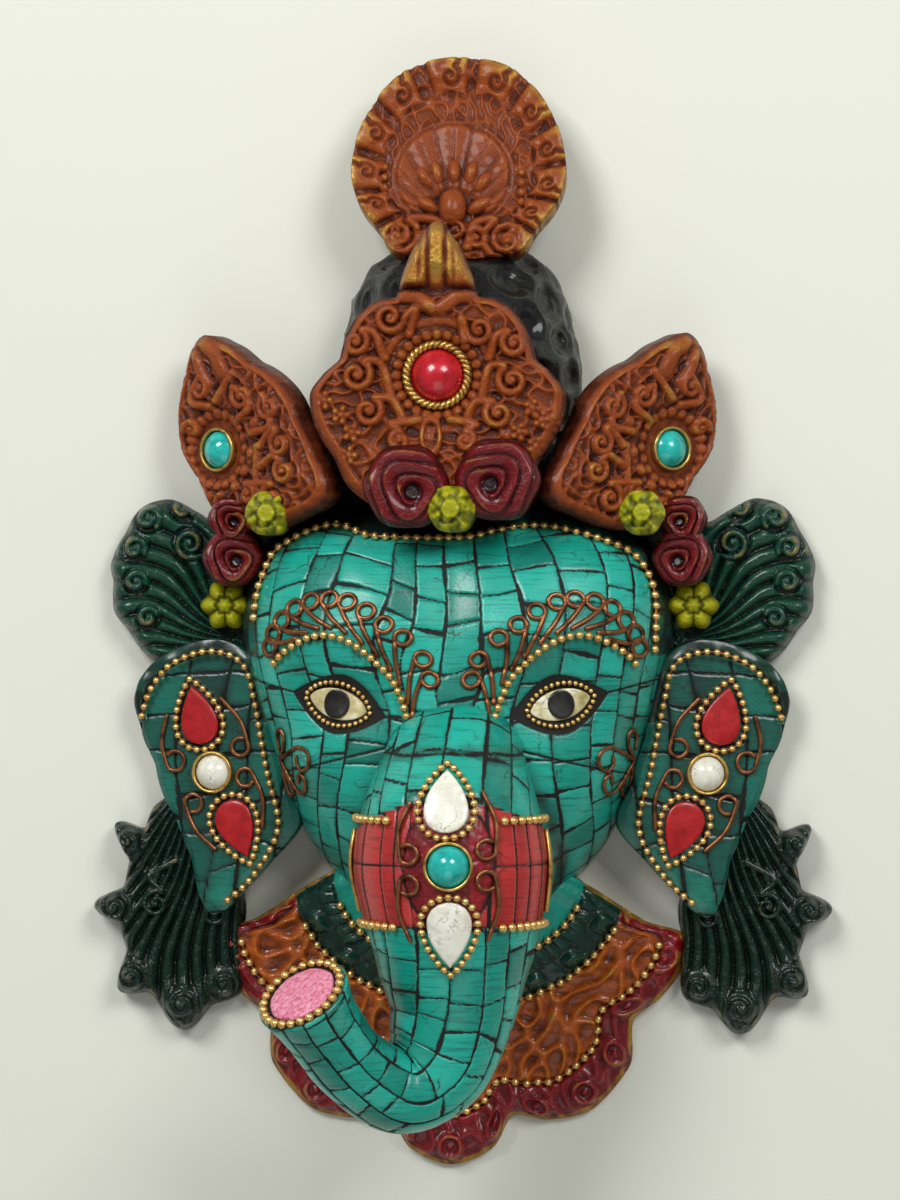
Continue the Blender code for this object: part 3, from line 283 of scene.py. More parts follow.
def round_ridge(distance, half):
    """The section of a rounded ridge: sqrt(1 - (d/half)^2)."""
    return np.sqrt(np.clip(1 - (distance / half) ** 2, 0, 1))


def spiral(cx, cy, outer, turns, start, spin, stem=None):
    """A volute: the radius shrinks evenly with the angle, and a stem may lead into it."""
    turn = np.linspace(0, turns, 22)
    radius = outer * (1 - 0.82 * turn / turns)
    angle = np.radians(start) + spin * turn * 2 * math.pi
    curl = np.column_stack([cx + radius * np.cos(angle), cy + radius * np.sin(angle)])
    if stem is None:
        return curl
    lead = flat_curve(np.vstack([stem, curl[:2]]), 14)
    return np.vstack([lead, curl[2:]])


def volutes(x, y, items, half):
    """The highest of several volutes, each a ridge that thins toward its eye, which is a small dome."""
    height = np.zeros(np.shape(x))
    for cx, cy, outer, turns, start, spin, stem in items:
        distance, along = away_from(x, y, spiral(cx, cy, outer, turns, start, spin, stem))
        height = np.maximum(height, round_ridge(distance, half * (1.15 - 0.45 * along)))
        height = np.maximum(height, 1.15 * round_ridge(np.hypot(x - cx, y - cy), 0.30 * outer))
    return height


def dots(x, y, places, radius):
    """Small domes at places."""
    height = np.zeros(np.shape(x))
    for px, py in places:
        height = np.maximum(height, round_ridge(np.hypot(x - px, y - py), radius))
    return height


def speckle(x, y, size, seed):
    """Smooth unevenness of about one size: a sum of seven waves in spread directions, -1 to 1."""
    rng = np.random.default_rng(seed)
    total = np.zeros(np.shape(x))
    for _ in range(7):
        angle, phase, stretch = rng.uniform(0, math.tau), rng.uniform(0, math.tau), rng.uniform(0.7, 1.5)
        total = total + np.sin((x * math.cos(angle) + y * math.sin(angle)) * math.tau / (size * stretch)
                               + phase)
    return total / 4.0


# Meshes

def add_mesh(name, points, parts, looks, smooth=True, fields=None, index=None):
    """A mesh at the origin from points in mm and arrays of faces, with a float attribute for each
    field, and a material index for each face where it has more than one look."""
    parts = [np.asarray(part, np.int32) for part in parts if len(part)]
    sizes = np.concatenate([np.full(len(part), part.shape[1]) for part in parts])
    corners = np.concatenate([part.ravel() for part in parts])
    mesh = bpy.data.meshes.new(name)
    mesh.vertices.add(len(points))
    mesh.vertices.foreach_set("co", (np.asarray(points, float) * 0.001).astype(np.float32).ravel())
    mesh.loops.add(len(corners))
    mesh.loops.foreach_set("vertex_index", corners)
    mesh.polygons.add(len(sizes))
    mesh.polygons.foreach_set("loop_start", np.concatenate([[0], np.cumsum(sizes)[:-1]]).astype(np.int32))
    mesh.update(calc_edges=True)
    mesh.polygons.foreach_set("use_smooth", np.full(len(sizes), smooth))
    if index is not None:
        mesh.polygons.foreach_set("material_index", np.asarray(index, np.int32))
    for key, values in (fields or {}).items():
        store = mesh.attributes.new(key, "FLOAT", "POINT")
        store.data.foreach_set("value", np.asarray(values, np.float32).ravel())
    for look in looks:
        mesh.materials.append(look)
    if mesh.validate():
        raise RuntimeError(name + " has faces that can't be used")
    made = bpy.data.objects.new(name, mesh)
    bpy.context.scene.collection.objects.link(made)
    return made


def settle(piece, slot, *nodes):
    """The piece rides on the casting and stands for its nodes, which it hides. The slot is not used."""
    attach(piece, "root")
    if nodes:
        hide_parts(*nodes)
    return piece


def shell_faces(rings, sectors, flip=False):
    """Faces of a closed form: a pole, rings of quads, and a pole at the far end."""
    i = np.arange(sectors)
    j = (i + 1) % sectors
    first = 1 + np.arange(rings - 1)[:, None] * sectors
    body = np.stack([first + i, first + sectors + i, first + sectors + j, first + j], axis=-1).reshape(-1, 4)
    top = np.stack([np.zeros(sectors, int), 1 + i, 1 + j], axis=-1)
    last = 1 + (rings - 1) * sectors
    foot = np.stack([np.full(sectors, 1 + rings * sectors), last + j, last + i], axis=-1)
    return [part[:, ::-1] if flip else part for part in (top, body, foot)]


def placed(points, place, turn_x=0.0, turn_y=0.0):
    """Turns points about x, then about y, and moves them to a place."""
    cx, sx = math.cos(math.radians(turn_x)), math.sin(math.radians(turn_x))
    cy, sy = math.cos(math.radians(turn_y)), math.sin(math.radians(turn_y))
    x, y, z = points[..., 0], points[..., 1], points[..., 2]
    y, z = cx * y - sx * z, sx * y + cx * z
    x, z = cy * x + sy * z, -sy * x + cy * z
    return np.stack([x, y, z], axis=-1) + np.asarray(place)


def smoothed(values, radius, near):
    """Values of rings round a centre, each blurred by the same length: a Gaussian over the rings, and on
    each ring one over its angle, which is a product with exp(-(k near / radius)^2 / 2) in frequency."""
    weights = np.exp(-0.5 * ((radius[:, None] - radius[None]) / near) ** 2)
    waves = np.fft.rfft(weights @ values / weights.sum(axis=1)[:, None], axis=1)
    keep = np.exp(-0.5 * (np.arange(waves.shape[1])[None] * near / np.maximum(radius, 0.1)[:, None]) ** 2)
    return np.fft.irfft(waves * keep, n=values.shape[1], axis=1)


class Plate:
    """A form of the casting: an outline round a centre and a front z(share, x, y, angle), where share
    is the distance from the centre as a part of the outline's reach."""

    def __init__(self, outline, front, place, back, turn_x=0.0, turn_y=0.0, thin=None):
        self.outline, self.front, self.place = outline, front, np.asarray(place, float)
        self.back, self.turn_x, self.turn_y, self.thin = back, turn_x, turn_y, thin

    def build(self, name, look, rings, sectors, relief, mirror=False, crowd=1.0, grow=0.35, outward=False):
        """The dressed skin of a form. Its front is rings at growing shares with the relief on top; then
        come the rim and a back that lies inside the metal: flat, or one skin under a hollow front. The
        relief rises straight up, or outward along the normal."""
        angle = 90.0 + np.arange(sectors) * 360.0 / sectors
        radius = self.outline(angle) + grow
        share = np.concatenate([[1e-4], (1 - (1 - np.linspace(0, 1, rings + 1)) ** crowd)[1:]])[:, None]
        cos, sin = np.cos(np.radians(angle))[None], np.sin(np.radians(angle))[None]
        x, y = radius * share * cos, radius * share * sin
        share, spread = np.broadcast_to(share, x.shape), np.broadcast_to(angle, x.shape)
        rise, fields = relief(share, x, y, spread)
        if "worn" in fields:
            around = smoothed(rise, np.hypot(x, y).mean(axis=1), 1.4)
            fields["crest"] = np.clip(0.5 + 0.5 * (rise - around), 0, 1)
        z = self.front(share, x, y, spread) + SKIN
        if outward:
            steps = [np.gradient(axis, axis=0) for axis in (x, y, z)]
            rounds = [np.roll(axis, -1, axis=1) - np.roll(axis, 1, axis=1) for axis in (x, y, z)]
            out = unit(np.cross(np.stack(steps, -1), np.stack(rounds, -1)))
            x, y, z = np.stack([x, y, z]) + rise * out.transpose(2, 0, 1)
        else:
            z = z + rise
        if self.thin is None:
            backs = [np.stack([x[-1], y[-1], z[-1] * (1 - k) + (self.back + 1.4) * k], axis=-1)
                     for k in (0.5, 1)]
            foot = [[0, 0, self.back + 1.4]]
        else:
            s = 0.975 * share[:0:-4]
            bx, by = radius * s * cos, radius * s * sin
            bz = np.maximum(self.front(s, bx, by, spread[:len(s)]) - self.thin, 0.3)
            backs = list(np.stack([bx, by, bz], axis=-1))
            foot = [[0, 0, bz[-1].mean()]]
        points = np.vstack([[[0, 0, z[0].mean()]], np.stack([x, y, z], axis=-1)[1:].reshape(-1, 3),
                            np.vstack(backs), foot])
        filled = {}
        for key, values in fields.items():
            values = np.broadcast_to(values, x.shape)
            filled[key] = np.concatenate([values[0, :1], values[1:].ravel(), np.tile(values[-1], len(backs)),
                                          values[-1, :1]])
        place, turn_y = self.place, self.turn_y
        if mirror:
            points, place, turn_y = points * (-1, 1, 1), place * (-1, 1, 1), -turn_y
        faces = shell_faces(rings + len(backs), sectors, mirror)
        return add_mesh(name, placed(points, place, self.turn_x, turn_y), faces, [look], True, filled)


def tube_rings(points, ups, wide, tall, sides, phase=0.0, closed=False):
    """An elliptical section carried along a path: at each point the ring is
    across * wide * cos(turn) + up * tall * sin(turn)."""
    along = tangents(points, closed)
    across = unit(np.cross(ups, along))
    ups = np.cross(along, across)
    turn = np.radians(phase + np.arange(sides) * 360.0 / sides)
    wide, tall = np.broadcast_to(wide, len(points)), np.broadcast_to(tall, len(points))
    return (points[:, None, :] + wide[:, None, None] * np.cos(turn)[None, :, None] * across[:, None, :]
            + tall[:, None, None] * np.sin(turn)[None, :, None] * ups[:, None, :])


def tube(points, ups, radius, sides=8, closed=False):
    """Points and faces of a wire whose two ends are rounded, or of a closed ring of wire."""
    points, ups = np.asarray(points, float), unit(np.asarray(ups, float))
    if closed:
        rings = tube_rings(points, ups, radius, radius, sides, 0.0, True)
        i = np.arange(len(points))[:, None] * sides
        j = np.arange(sides)
        k = (j + 1) % sides
        n = (i + sides) % (len(points) * sides)
        return rings.reshape(-1, 3), [np.stack([i + j, i + k, n + k, n + j], axis=-1).reshape(-1, 4)]
    along = tangents(points)
    size = np.broadcast_to(radius, len(points)).astype(float)
    cap = np.array([0.94, 0.6])
    start = points[0] - along[0] * size[0] * np.array([[0.35], [0.8]])[::-1]
    end = points[-1] + along[-1] * size[-1] * np.array([[0.35], [0.8]])
    body = np.vstack([start, points, end])
    ups = np.vstack([ups[:1], ups[:1], ups, ups[-1:], ups[-1:]])
    sizes = np.concatenate([size[0] * cap[::-1], size, size[-1] * cap])
    rings = tube_rings(body, ups, sizes, sizes, sides)
    tips = (points[:1] - along[:1] * size[0], points[-1:] + along[-1:] * size[-1])
    faces = [part[:, ::-1] for part in shell_faces(len(body), sides)]
    return np.vstack([tips[0], rings.reshape(-1, 3), tips[1]]), faces


def gather(pieces):
    """Joins (points, parts) meshes into one, with the number of each face's piece."""
    points, tris, quads, tri_of, quad_of, base = [], [], [], [], [], 0
    for number, (places, parts) in enumerate(pieces):
        points.append(places)
        for part in parts:
            if part.shape[1] == 3:
                tris.append(part + base)
                tri_of.append(np.full(len(part), number))
            else:
                quads.append(part + base)
                quad_of.append(np.full(len(part), number))
        base += len(places)
    return np.vstack(points), [np.vstack(part)
                               for part in (tris, quads) if part], np.concatenate(tri_of + quad_of)


def balls(places, radius, sectors=10, bands=6):
    """Small spheres at places: cos and sin of two angles, repeated."""
    down = np.linspace(0, math.pi, bands + 1)[1:-1]
    turn = np.arange(sectors) * math.tau / sectors
    ring = np.stack([np.sin(down)[:, None] * np.cos(turn), np.sin(down)[:, None] * np.sin(turn),
                     np.cos(down)[:, None] + 0 * turn], axis=-1).reshape(-1, 3)
    one = np.vstack([[[0, 0, 1]], ring, [[0, 0, -1]]])
    places = np.asarray(places, float)
    points = (places[:, None, :] + np.broadcast_to(radius, len(places))[:, None,
                                                                        None] * one[None]).reshape(-1, 3)
    shift = np.arange(len(places))[:, None, None] * len(one)
    return points, [(part[None] + shift).reshape(-1, part.shape[1])
                    for part in shell_faces(bands - 1, sectors)]


# Points round a seat that are felt for its height
PROBES = ((0, 0), (0.5, 0.5), (-0.5, -0.5), (0.9, -0.9), (-0.9, 0.9))


class Seat:
    """Where a piece sits on dressed surfaces, found by rays. Lengths are mm."""

    def __init__(self, *pieces):
        self.trees = []
        for piece in pieces:
            shape = bmesh.new()
            shape.from_mesh(piece.data)
            self.trees.append(BVHTree.FromBMesh(shape))
            shape.free()

    def hit(self, start, direction):
        found = [tree.ray_cast(Vector(start) * 0.001, Vector(direction)) for tree in self.trees]
        found = [item for item in found if item[0] is not None]
        return np.array(min(found, key=lambda item: item[3])[0]) * 1000 if found else None

    def below(self, x, y, top=200.0, spare=None):
        """The surface under (x, y), or the spare height past its edge."""
        found = self.hit((x, y, top), (0.0, 0.0, -1.0))
        if found is None and spare is None:
            raise RuntimeError("nothing lies under (%.1f, %.1f)" % (x, y))
        return np.array([x, y, spare]) if found is None else found

    def frame(self, x, y, spread=3.0, top=200.0):
        """Place at (x, y) and its level axes, the last one outward."""
        place = self.below(x, y, top)
        across = self.below(x + spread, y, top, place[2]) - self.below(x - spread, y, top, place[2])
        along = self.below(x, y + spread, top, place[2]) - self.below(x, y - spread, top, place[2])
        out = unit(np.cross(across, along))
        across = unit(across - np.dot(across, out) * out)
        return place, across, np.cross(out, across), out

    def lift(self, frame, a, b):
        """Height of the surface over the frame's plane at (a, b): the highest of a few close points."""
        place, across, along, out = frame
        found = [self.hit(place + (a + da) * across + (b + db) * along + 12.0 * out, -out) for da,
                 db in PROBES]
        if all(item is None for item in found):
            raise RuntimeError("nothing to sit on at (%.1f, %.1f) from (%.0f, %.0f, %.0f)" % (a, b, *place))
        return max(float(np.dot(item - place, out)) for item in found if item is not None)

    def over(self, frame, rows, clear):
        """Places over (a, b) rows of a frame, clear of the surface."""
        place, across, along, out = frame
        return np.array([place + a * across + b * along + (self.lift(frame, a, b) + clear) * out for a,
                         b in rows])

    def drape(self, rows, clear, top=200.0, spread=1.6):
        """Places and outward directions over (x, y) rows, clear of the surface."""
        found = [self.frame(x, y, spread, top) for x, y in rows]
        ups = np.array([frame[3] for frame in found])
        return np.array([frame[0] for frame in found]) + clear * ups, ups


def turned(frame, degrees):
    place, across, along, out = frame
    c, s = math.cos(math.radians(degrees)), math.sin(math.radians(degrees))
    return place, c * across + s * along, c * along - s * across, out


def moved(seat, frame, a, b):
    place, across, along, out = frame
    return place + a * across + b * along + seat.lift(frame, a, b) * out, across, along, out


# Materials

def linear(text, alpha=True):
    """Linear colour of an sRGB hex text."""
    part = np.array([int(text[k:k + 2], 16) for k in (1, 3, 5)]) / 255
    part = np.where(part <= 0.04045, part / 12.92, ((part + 0.055) / 1.055) ** 2.4)
    return (*part.tolist(), 1.0) if alpha else tuple(part.tolist())


def shades(text):
    """Linear colours of several sRGB hex texts."""
    return tuple(linear(part) for part in text.split())


def set_inputs(tree, node, inputs):
    """Links each input that is given a socket, and sets any other to its value."""
    for key, value in inputs.items():
        if isinstance(value, bpy.types.NodeSocket):
            tree.links.new(value, node.inputs[key])
        else:
            node.inputs[key].default_value = value


def add_node(tree, kind, inputs, output=0, stops=(), **settings):
    """Adds a node and gives one of its outputs: settings are the node's own, and stops are
    (position, colour) of a colour ramp."""
    node = tree.nodes.new("ShaderNode" + kind)
    for key, value in settings.items():
        setattr(node, key, value)
    set_inputs(tree, node, inputs)
    if stops:
        elements = node.color_ramp.elements
        while len(elements) < len(stops):
            elements.new(1.0)
        for element, (position, colour) in zip(elements, stops):
            element.position = position
            element.color = colour
    return node.outputs[output]


def new_look(name):
    """Starts a Principled material: gives what adds a node to it, its Object coordinates, and what sets
    the shader's inputs and returns the finished material."""
    made = bpy.data.materials.new(name)
    made.use_nodes = True
    tree = made.node_tree

    def done(inputs):
        set_inputs(tree, tree.nodes["Principled BSDF"], inputs)
        return made

    return partial(add_node, tree), add_node(tree, "TexCoord", {}, "Object"), done


def by_zone(node, colours, blur):
    """The colour of each zone of a piece, which its zone attribute numbers 0, 1, 2 and so on."""
    zone = node("Attribute", {}, "Fac", attribute_name="zone")
    colour = colours[0]
    for number, other in enumerate(colours[1:], 1):
        mask = node("MapRange", {"Value": zone, 1: number - 0.5 - blur, 2: number - 0.5 + blur})
        colour = node("Mix", {0: mask, 6: colour, 7: other}, 2, data_type="RGBA")
    return colour


def cell_edges(node, place, amount, wave, detail, scale):
    """Distance to the edges of cells whose places are bent by noise."""
    waves = node("TexNoise", {"Vector": place, "Scale": wave, "Detail": detail}, "Color")
    bent = node("Mix", {0: amount, 4: place, 5: waves}, 1, data_type="VECTOR")
    return node("TexVoronoi", {"Vector": bent, "Scale": scale}, "Distance", feature="DISTANCE_TO_EDGE")


def chip_mosaic(name, tiles, resin, veins, coat=0.4):
    """Cut chips of turquoise and coral set in dark resin, ground level and varnished: each chip its own
    shade, fine dark cracks, matt joints that sit a little lower, and a soft sheen over all of it."""
    node, place, done = new_look(name)
    joint, tint, grime = (node("Attribute", {}, "Fac", attribute_name=key)
                          for key in ("joint", "tint", "grime"))
    # Clouding inside the stone, about 9 mm across, and fine rub marks, about 0.7 mm
    cloud = node("TexNoise", {"Vector": place, "Scale": 110.0, "Detail": 3.0})
    rub = node("TexNoise", {"Vector": place, "Scale": 1400.0, "Detail": 2.0})
    shade = node("Math", {0: cloud, 1: 0.55, 2: tint}, operation="MULTIPLY_ADD")
    shade = node("MapRange", {"Value": shade, 1: 0.1, 2: 1.45})
    colour = by_zone(node, [node("ValToRGB", {"Fac": shade}, stops=list(zip((0.0, 0.45, 1.0), tones)))
                            for tones in tiles], 0.05)
    # Sparse hairline cracks, the edges of cells about 17 mm across, bent by noise
    crack = cell_edges(node, place, 0.008, 160.0, 4.0, 60.0)
    crack = node("MapRange", {"Value": crack, 1: 0.004, 2: 0.016, 3: 1.0, 4: 0.0})
    sparse = node("MapRange", {"Value": cloud, 1: 0.5, 2: 0.62, 4: veins})
    crack = node("Math", {0: crack, 1: sparse}, operation="MULTIPLY")
    # Dark scratches from the grinding, about 0.4 mm wide and 10 mm long, lying askew
    askew = node("Mapping", {"Vector": place, "Rotation": (0.0, 0.0, 0.35), "Scale": (90.0, 1500.0, 90.0)})
    scratch = node("TexNoise", {"Vector": askew, "Scale": 1.0, "Detail": 3.0})
    scratch = node("MapRange", {"Value": scratch, 1: 0.52, 2: 0.72, 4: 0.5})
    # Joints, ragged by the rub marks, and dirt in patches and beside the joints
    edge = node("Math", {0: rub, 1: 0.5, 2: joint}, operation="MULTIPLY_ADD")
    seam = node("MapRange", {"Value": edge, 1: 0.46, 2: 0.70, 3: 1.0, 4: 0.0})
    # Painted shade with dirt: the grime field darkens the chips toward the resin, in creases as well as in
    # dirty patches
    dirt = node("Math", {0: cloud, 1: 1.1, 2: grime}, operation="MULTIPLY_ADD")
    by_joint = node("MapRange", {"Value": joint, 1: 0.3, 2: 2.4, 3: 0.3, 4: 0.0})
    dirt = node("Math", {0: dirt, 1: by_joint}, operation="ADD")
    dirt = node("MapRange", {"Value": dirt, 1: 0.75, 2: 1.6, 4: 0.92})
    for mask in (crack, scratch, dirt, seam):
        colour = node("Mix", {0: mask, 6: colour, 7: resin}, 2, data_type="RGBA")
    rough = node("MapRange", {"Value": rub, 1: 0.3, 2: 0.7, 3: 0.26, 4: 0.46})
    dent = node("Math", {0: seam, 1: -1.4, 2: rub}, operation="MULTIPLY_ADD")
    return done({"Base Color": colour, "Roughness": node("Mix", {0: seam, 2: rough, 3: 0.75}),
                 "Normal": node("Bump", {"Strength": 0.35, "Distance": 0.0003, "Height": dent}),
                 "Coat Weight": node("MapRange", {"Value": seam, 3: coat, 4: 0.0}),
                 "Coat Roughness": 0.22, "Specular IOR Level": 0.3})


def painted_brass(name, paints, recess, gold, gloss, wear=0.0, coat=0.6, blotch=0.35):
    """Sand-cast brass, brushed with enamel and rubbed back: dark paint lies in the hollows, full colour
    on the slopes, and bare gold metal shows where hands and polishing took the paint off the crests.
    crest is 0.5 on level ground, less in a hollow and more on a ridge. paints and recess hold a colour
    for each zone of the piece."""
    node, place, done = new_look(name)
    crest, worn = (node("Attribute", {}, "Fac", attribute_name=key) for key in ("crest", "worn"))
    # Brushed paint clouds about 6 mm across, and cast grain about 0.9 mm
    cloud = node("TexNoise", {"Vector": place, "Scale": 165.0, "Detail": 4.0})
    grain = node("TexNoise", {"Vector": place, "Scale": 1100.0, "Detail": 3.0})
    depth = node("Math", {0: cloud, 1: blotch, 2: crest}, operation="MULTIPLY_ADD")
    depth = node("MapRange", {"Value": depth, 1: 0.12, 2: 0.62 + blotch}, interpolation_type="SMOOTHSTEP")
    colour = by_zone(node, [node("Mix", {0: depth, 6: low, 7: high}, 2, data_type="RGBA")
                            for low, high in zip(recess, paints)], 0.1)
    bare = node("Math", {0: crest, 1: worn}, operation="ADD")
    for noise, share in ((cloud, 0.9), (grain, 0.35)):
        bare = node("Math", {0: noise, 1: share, 2: bare}, operation="MULTIPLY_ADD")
    bare = node("MapRange", {"Value": bare, 1: 1.42 - wear, 2: 1.9 - wear})
    rough = node("MapRange", {"Value": grain, 1: 0.3, 2: 0.7, 3: gloss, 4: gloss + 0.16})
    swell = node("Math", {0: cloud, 1: 3.5, 2: grain}, operation="MULTIPLY_ADD")
    return done({"Base Color": node("Mix", {0: bare, 6: colour, 7: gold}, 2, data_type="RGBA"),
                 "Metallic": node("Math", {0: bare, 1: 0.7}, operation="MULTIPLY"),
                 "Roughness": node("Mix", {0: bare, 2: rough, 3: 0.42}),
                 "Normal": node("Bump", {"Strength": 0.6, "Distance": 0.0006, "Height": swell}),
                 "Specular IOR Level": 0.2, "Coat Weight": coat, "Coat Roughness": 0.12})


def drawn_metal(name, clean, tarnish, rough, scale):
    """Drawn brass or copper, bent cold and left to tarnish: bright where it is rubbed, brown in places."""
    node, place, done = new_look(name)
    spots = node("TexNoise", {"Vector": place, "Scale": scale, "Detail": 3.0})
    marks = node("TexNoise", {"Vector": place, "Scale": 2500.0})
    brown = node("MapRange", {"Value": spots, 1: 0.46, 2: 0.7})
    return done({"Base Color": node("Mix", {0: brown, 6: clean, 7: tarnish}, 2, data_type="RGBA"),
                 "Roughness": node("MapRange", {"Value": spots, 1: 0.35, 2: 0.7, 3: rough, 4: rough + 0.2}),
                 "Normal": node("Bump", {"Strength": 0.2, "Distance": 0.0001, "Height": marks}),
                 "Metallic": 0.88})


def polished_stone(name, tones, vein, amount, scale, rough, coat=0.5):
    """A cut and polished stone: cloudy body colour, thin veins of matrix, and a clear gloss."""
    node, place, done = new_look(name)
    cloud = node("TexNoise", {"Vector": place, "Scale": scale, "Detail": 4.0})
    body = node("ValToRGB", {"Fac": cloud}, stops=list(zip((0.3, 0.5, 0.72), tones)))
    line = cell_edges(node, place, 0.012, 1.4 * scale, 5.0, 0.55 * scale)
    line = node("MapRange", {"Value": line, 1: 0.0, 2: 0.05, 3: amount, 4: 0.0})
    part = node("MapRange", {"Value": cloud, 1: 0.42, 2: 0.62})
    line = node("Math", {0: line, 1: part}, operation="MULTIPLY")
    return done({"Base Color": node("Mix", {0: line, 6: body, 7: vein}, 2, data_type="RGBA"),
                 "Roughness": node("MapRange", {"Value": cloud, 1: 0.3, 2: 0.7, 3: rough, 4: rough + 0.1}),
                 "Coat Weight": coat, "Coat Roughness": 0.08})


def backdrop_card(name, pale):
    """Matt white card on a table: an even pale grey-green with the faintest mottle."""
    node, place, done = new_look(name)
    cloud = node("TexNoise", {"Vector": place, "Scale": 3.0, "Detail": 2.0})
    mottle = tuple(0.93 * c for c in pale[:3]) + (1.0,)
    return done({"Base Color": node("Mix", {0: cloud, 6: pale, 7: mottle}, 2, data_type="RGBA"),
                 "Roughness": 0.85})


def finish(name):
    """The named finish, made once. Some of its colours come from the panel's colour settings."""
    if name in bpy.data.materials:
        return bpy.data.materials[name]
    c = bpy.context.scene.mask_colours
    h = linear
    turquoise = (h("#0B675A"), (*c.turquoise, 1.0), h("#2CB8A6"))
    coral = (h("#861018"), (*c.coral, 1.0), h("#BE4A48"))
    granular = shades("#480A10 #741018 #9A1A24")
    black = shades("#060808 #0B0E0D #123029")
    deep = shades("#083A32 #0E5E50 #177E6C")
    varnish = shades("#03110C #051C15 #0D4F3E")
    gold = (*c.gold, 1.0)
    makers = {
        "turquoise and coral chip mosaic": (
            chip_mosaic, (turquoise, coral, granular, black), h("#1C1A17"), 0.75),
        "varnished turquoise chip mosaic": (chip_mosaic, (deep, turquoise, varnish), h("#0E1411"), 0.5, 0.6),
        "rust enamel on cast brass": (
            painted_brass, ((*c.terracotta, 1.0),), shades("#340D06"), gold, 0.42, 0.0, 0.16),
        "black hair enamel on cast brass": (
            painted_brass, shades("#08090A"), shades("#030304"), h("#6B5A32"), 0.34, -0.9, 0.45),
        "green foliage enamel on cast brass": (
            painted_brass, ((*c.foliage, 1.0), h("#062219")),
            shades("#020605 #010403"), gold, 0.2, -0.1, 0.45, 0.25),
        "crimson flower enamel on cast brass": (
            painted_brass, shades("#6C0F16 #30050A"), shades("#280408 #140204"), gold, 0.28, -0.12, 0.35),
        "lime bud enamel on cast brass": (
            painted_brass, shades("#A8A714"), shades("#3A3E08"), h("#BFA845"), 0.34, -0.1, 0.3, 0.6),
        "collar enamels on cast brass": (
            painted_brass, ((*c.turquoise, 1.0), h("#0A3A2E"), h("#B0520F"), h("#84101A")),
            shades("#0A4A3F #030B09 #3A1007 #35060A"), gold, 0.22, -0.05, 0.5),
        "bare cast brass": (
            painted_brass, shades("#0A0B0B"), shades("#0A0B0B"), h("#9A783A"), 0.35, 0.0, 0.0),
        "brass ball chain": (drawn_metal, (*c.bead, 1.0), h("#B98A45"), 0.3, 700.0),
        "brass bezel strip": (drawn_metal, h("#D8B264"), h("#8A652E"), 0.3, 400.0),
        "tarnished copper wire": (drawn_metal, (*c.copper, 1.0), h("#4A2A1C"), 0.34, 260.0),
        "red coral cabochon": (
            polished_stone, shades("#960A18 #B8101F #C82434"), h("#7A0C1C"), 0.3, 260.0, 0.16),
        "flat coral drop": (
            polished_stone, shades("#8C060E #A80A12 #B4161C"), h("#5E1A1A"), 0.75, 240.0, 0.3, 0.25),
        "howlite": (polished_stone, shades("#D8D6C4 #EAEADB #F1F1E6"), h("#8B8168"), 0.85, 240.0, 0.22),
        "turquoise cabochon": (
            polished_stone, shades("#129089 #1CB2AA #30C2B8"), h("#17685C"), 0.55, 300.0, 0.14),
        "pink rhodonite": (
            polished_stone, shades("#B8406A #DE7E9C #EDB2C2"), h("#5C4A52"), 0.6, 900.0, 0.34, 0.2),
        "aged bone": (polished_stone, shades("#9C8A54 #CFC592 #ECEBDD"), h("#4A3A1C"), 0.8, 200.0, 0.3, 0.3),
        "dark horn": (polished_stone, shades("#0C0A0A #141211 #1C1917"), h("#0A0908"), 0.5, 600.0, 0.3, 0.2),
        "pale backdrop card": (backdrop_card, (*c.backdrop, 1.0)),
    }
    make, *values = makers[name]
    return make(name, *values)


# Mosaic

def chips(u, v, wide, tall, seed, warp=2.0):
    """Chips laid in columns: returns the distance in mm to the nearest joint, a shade 0 to 1 and the
    chip's own slant. Columns are cut at wide * k plus a jitter; in each, rows are cut at
    tall * m plus a jitter, and the grid is bent by slow waves."""
    rng = np.random.default_rng(seed)
    u = u + warp * speckle(u, v, 46.0, seed + 1) + 0.12 * speckle(u, v, 3.0, seed + 3)
    v = v + warp * speckle(u, v, 52.0, seed + 2) + 0.12 * speckle(u, v, 3.0, seed + 4)
    count = 80
    edges = (np.arange(count) - count / 2 + rng.uniform(-0.22, 0.22, count)) * wide
    column = np.clip(np.searchsorted(edges, u) - 1, 0, count - 2)
    shift = rng.uniform(0, 1, count)
    slope = rng.uniform(-0.10, 0.10, (count, 400))
    jitter = rng.uniform(-0.2, 0.2, (count, 400))
    across = (u - edges[column]) / (edges[column + 1] - edges[column])
    row = v / tall + shift[column] + 200
    base = np.floor(row).astype(int)
    best_low = np.full(u.shape, -1e9)
    best_high = np.full(u.shape, 1e9)
    chip = base
    for k in (-1, 0, 1, 2):
        cut = base + k + jitter[column, base + k] + slope[column, base + k] * (across - 0.5) * 2
        under = cut <= row
        chip = np.where(under & (cut > best_low), base + k, chip)
        best_low = np.where(under & (cut > best_low), cut, best_low)
        best_high = np.where(~under & (cut < best_high), cut, best_high)
    side = np.minimum(u - edges[column], edges[column + 1] - u)
    end = np.minimum(row - best_low, best_high - row) * tall
    shade = rng.uniform(0, 1, (count, 400))[column, chip]
    lean = rng.uniform(-1, 1, (2, count, 400))
    slant = lean[0][column, chip] * (across - 0.5) + lean[1][column, chip] * (row - best_low - 0.5)
    gap = 0.45 * np.clip(speckle(u, v, 17.0, seed + 5), 0, 1)
    return np.maximum(np.minimum(side, end) - gap, 0), shade, slant


def chip_rise(joint, slant):
    """Joints lie 0.4 mm under the chips, and each chip leans a little."""
    return -0.4 * (1 - step(joint, 0.15, 0.7)) + 0.16 * slant


# The casting's front surfaces

def dome(share, height, power):
    """height * sqrt(1 - share^power)."""
    return height * np.sqrt(np.clip(1 - np.clip(share, 0, 1) ** power, 0, 1))


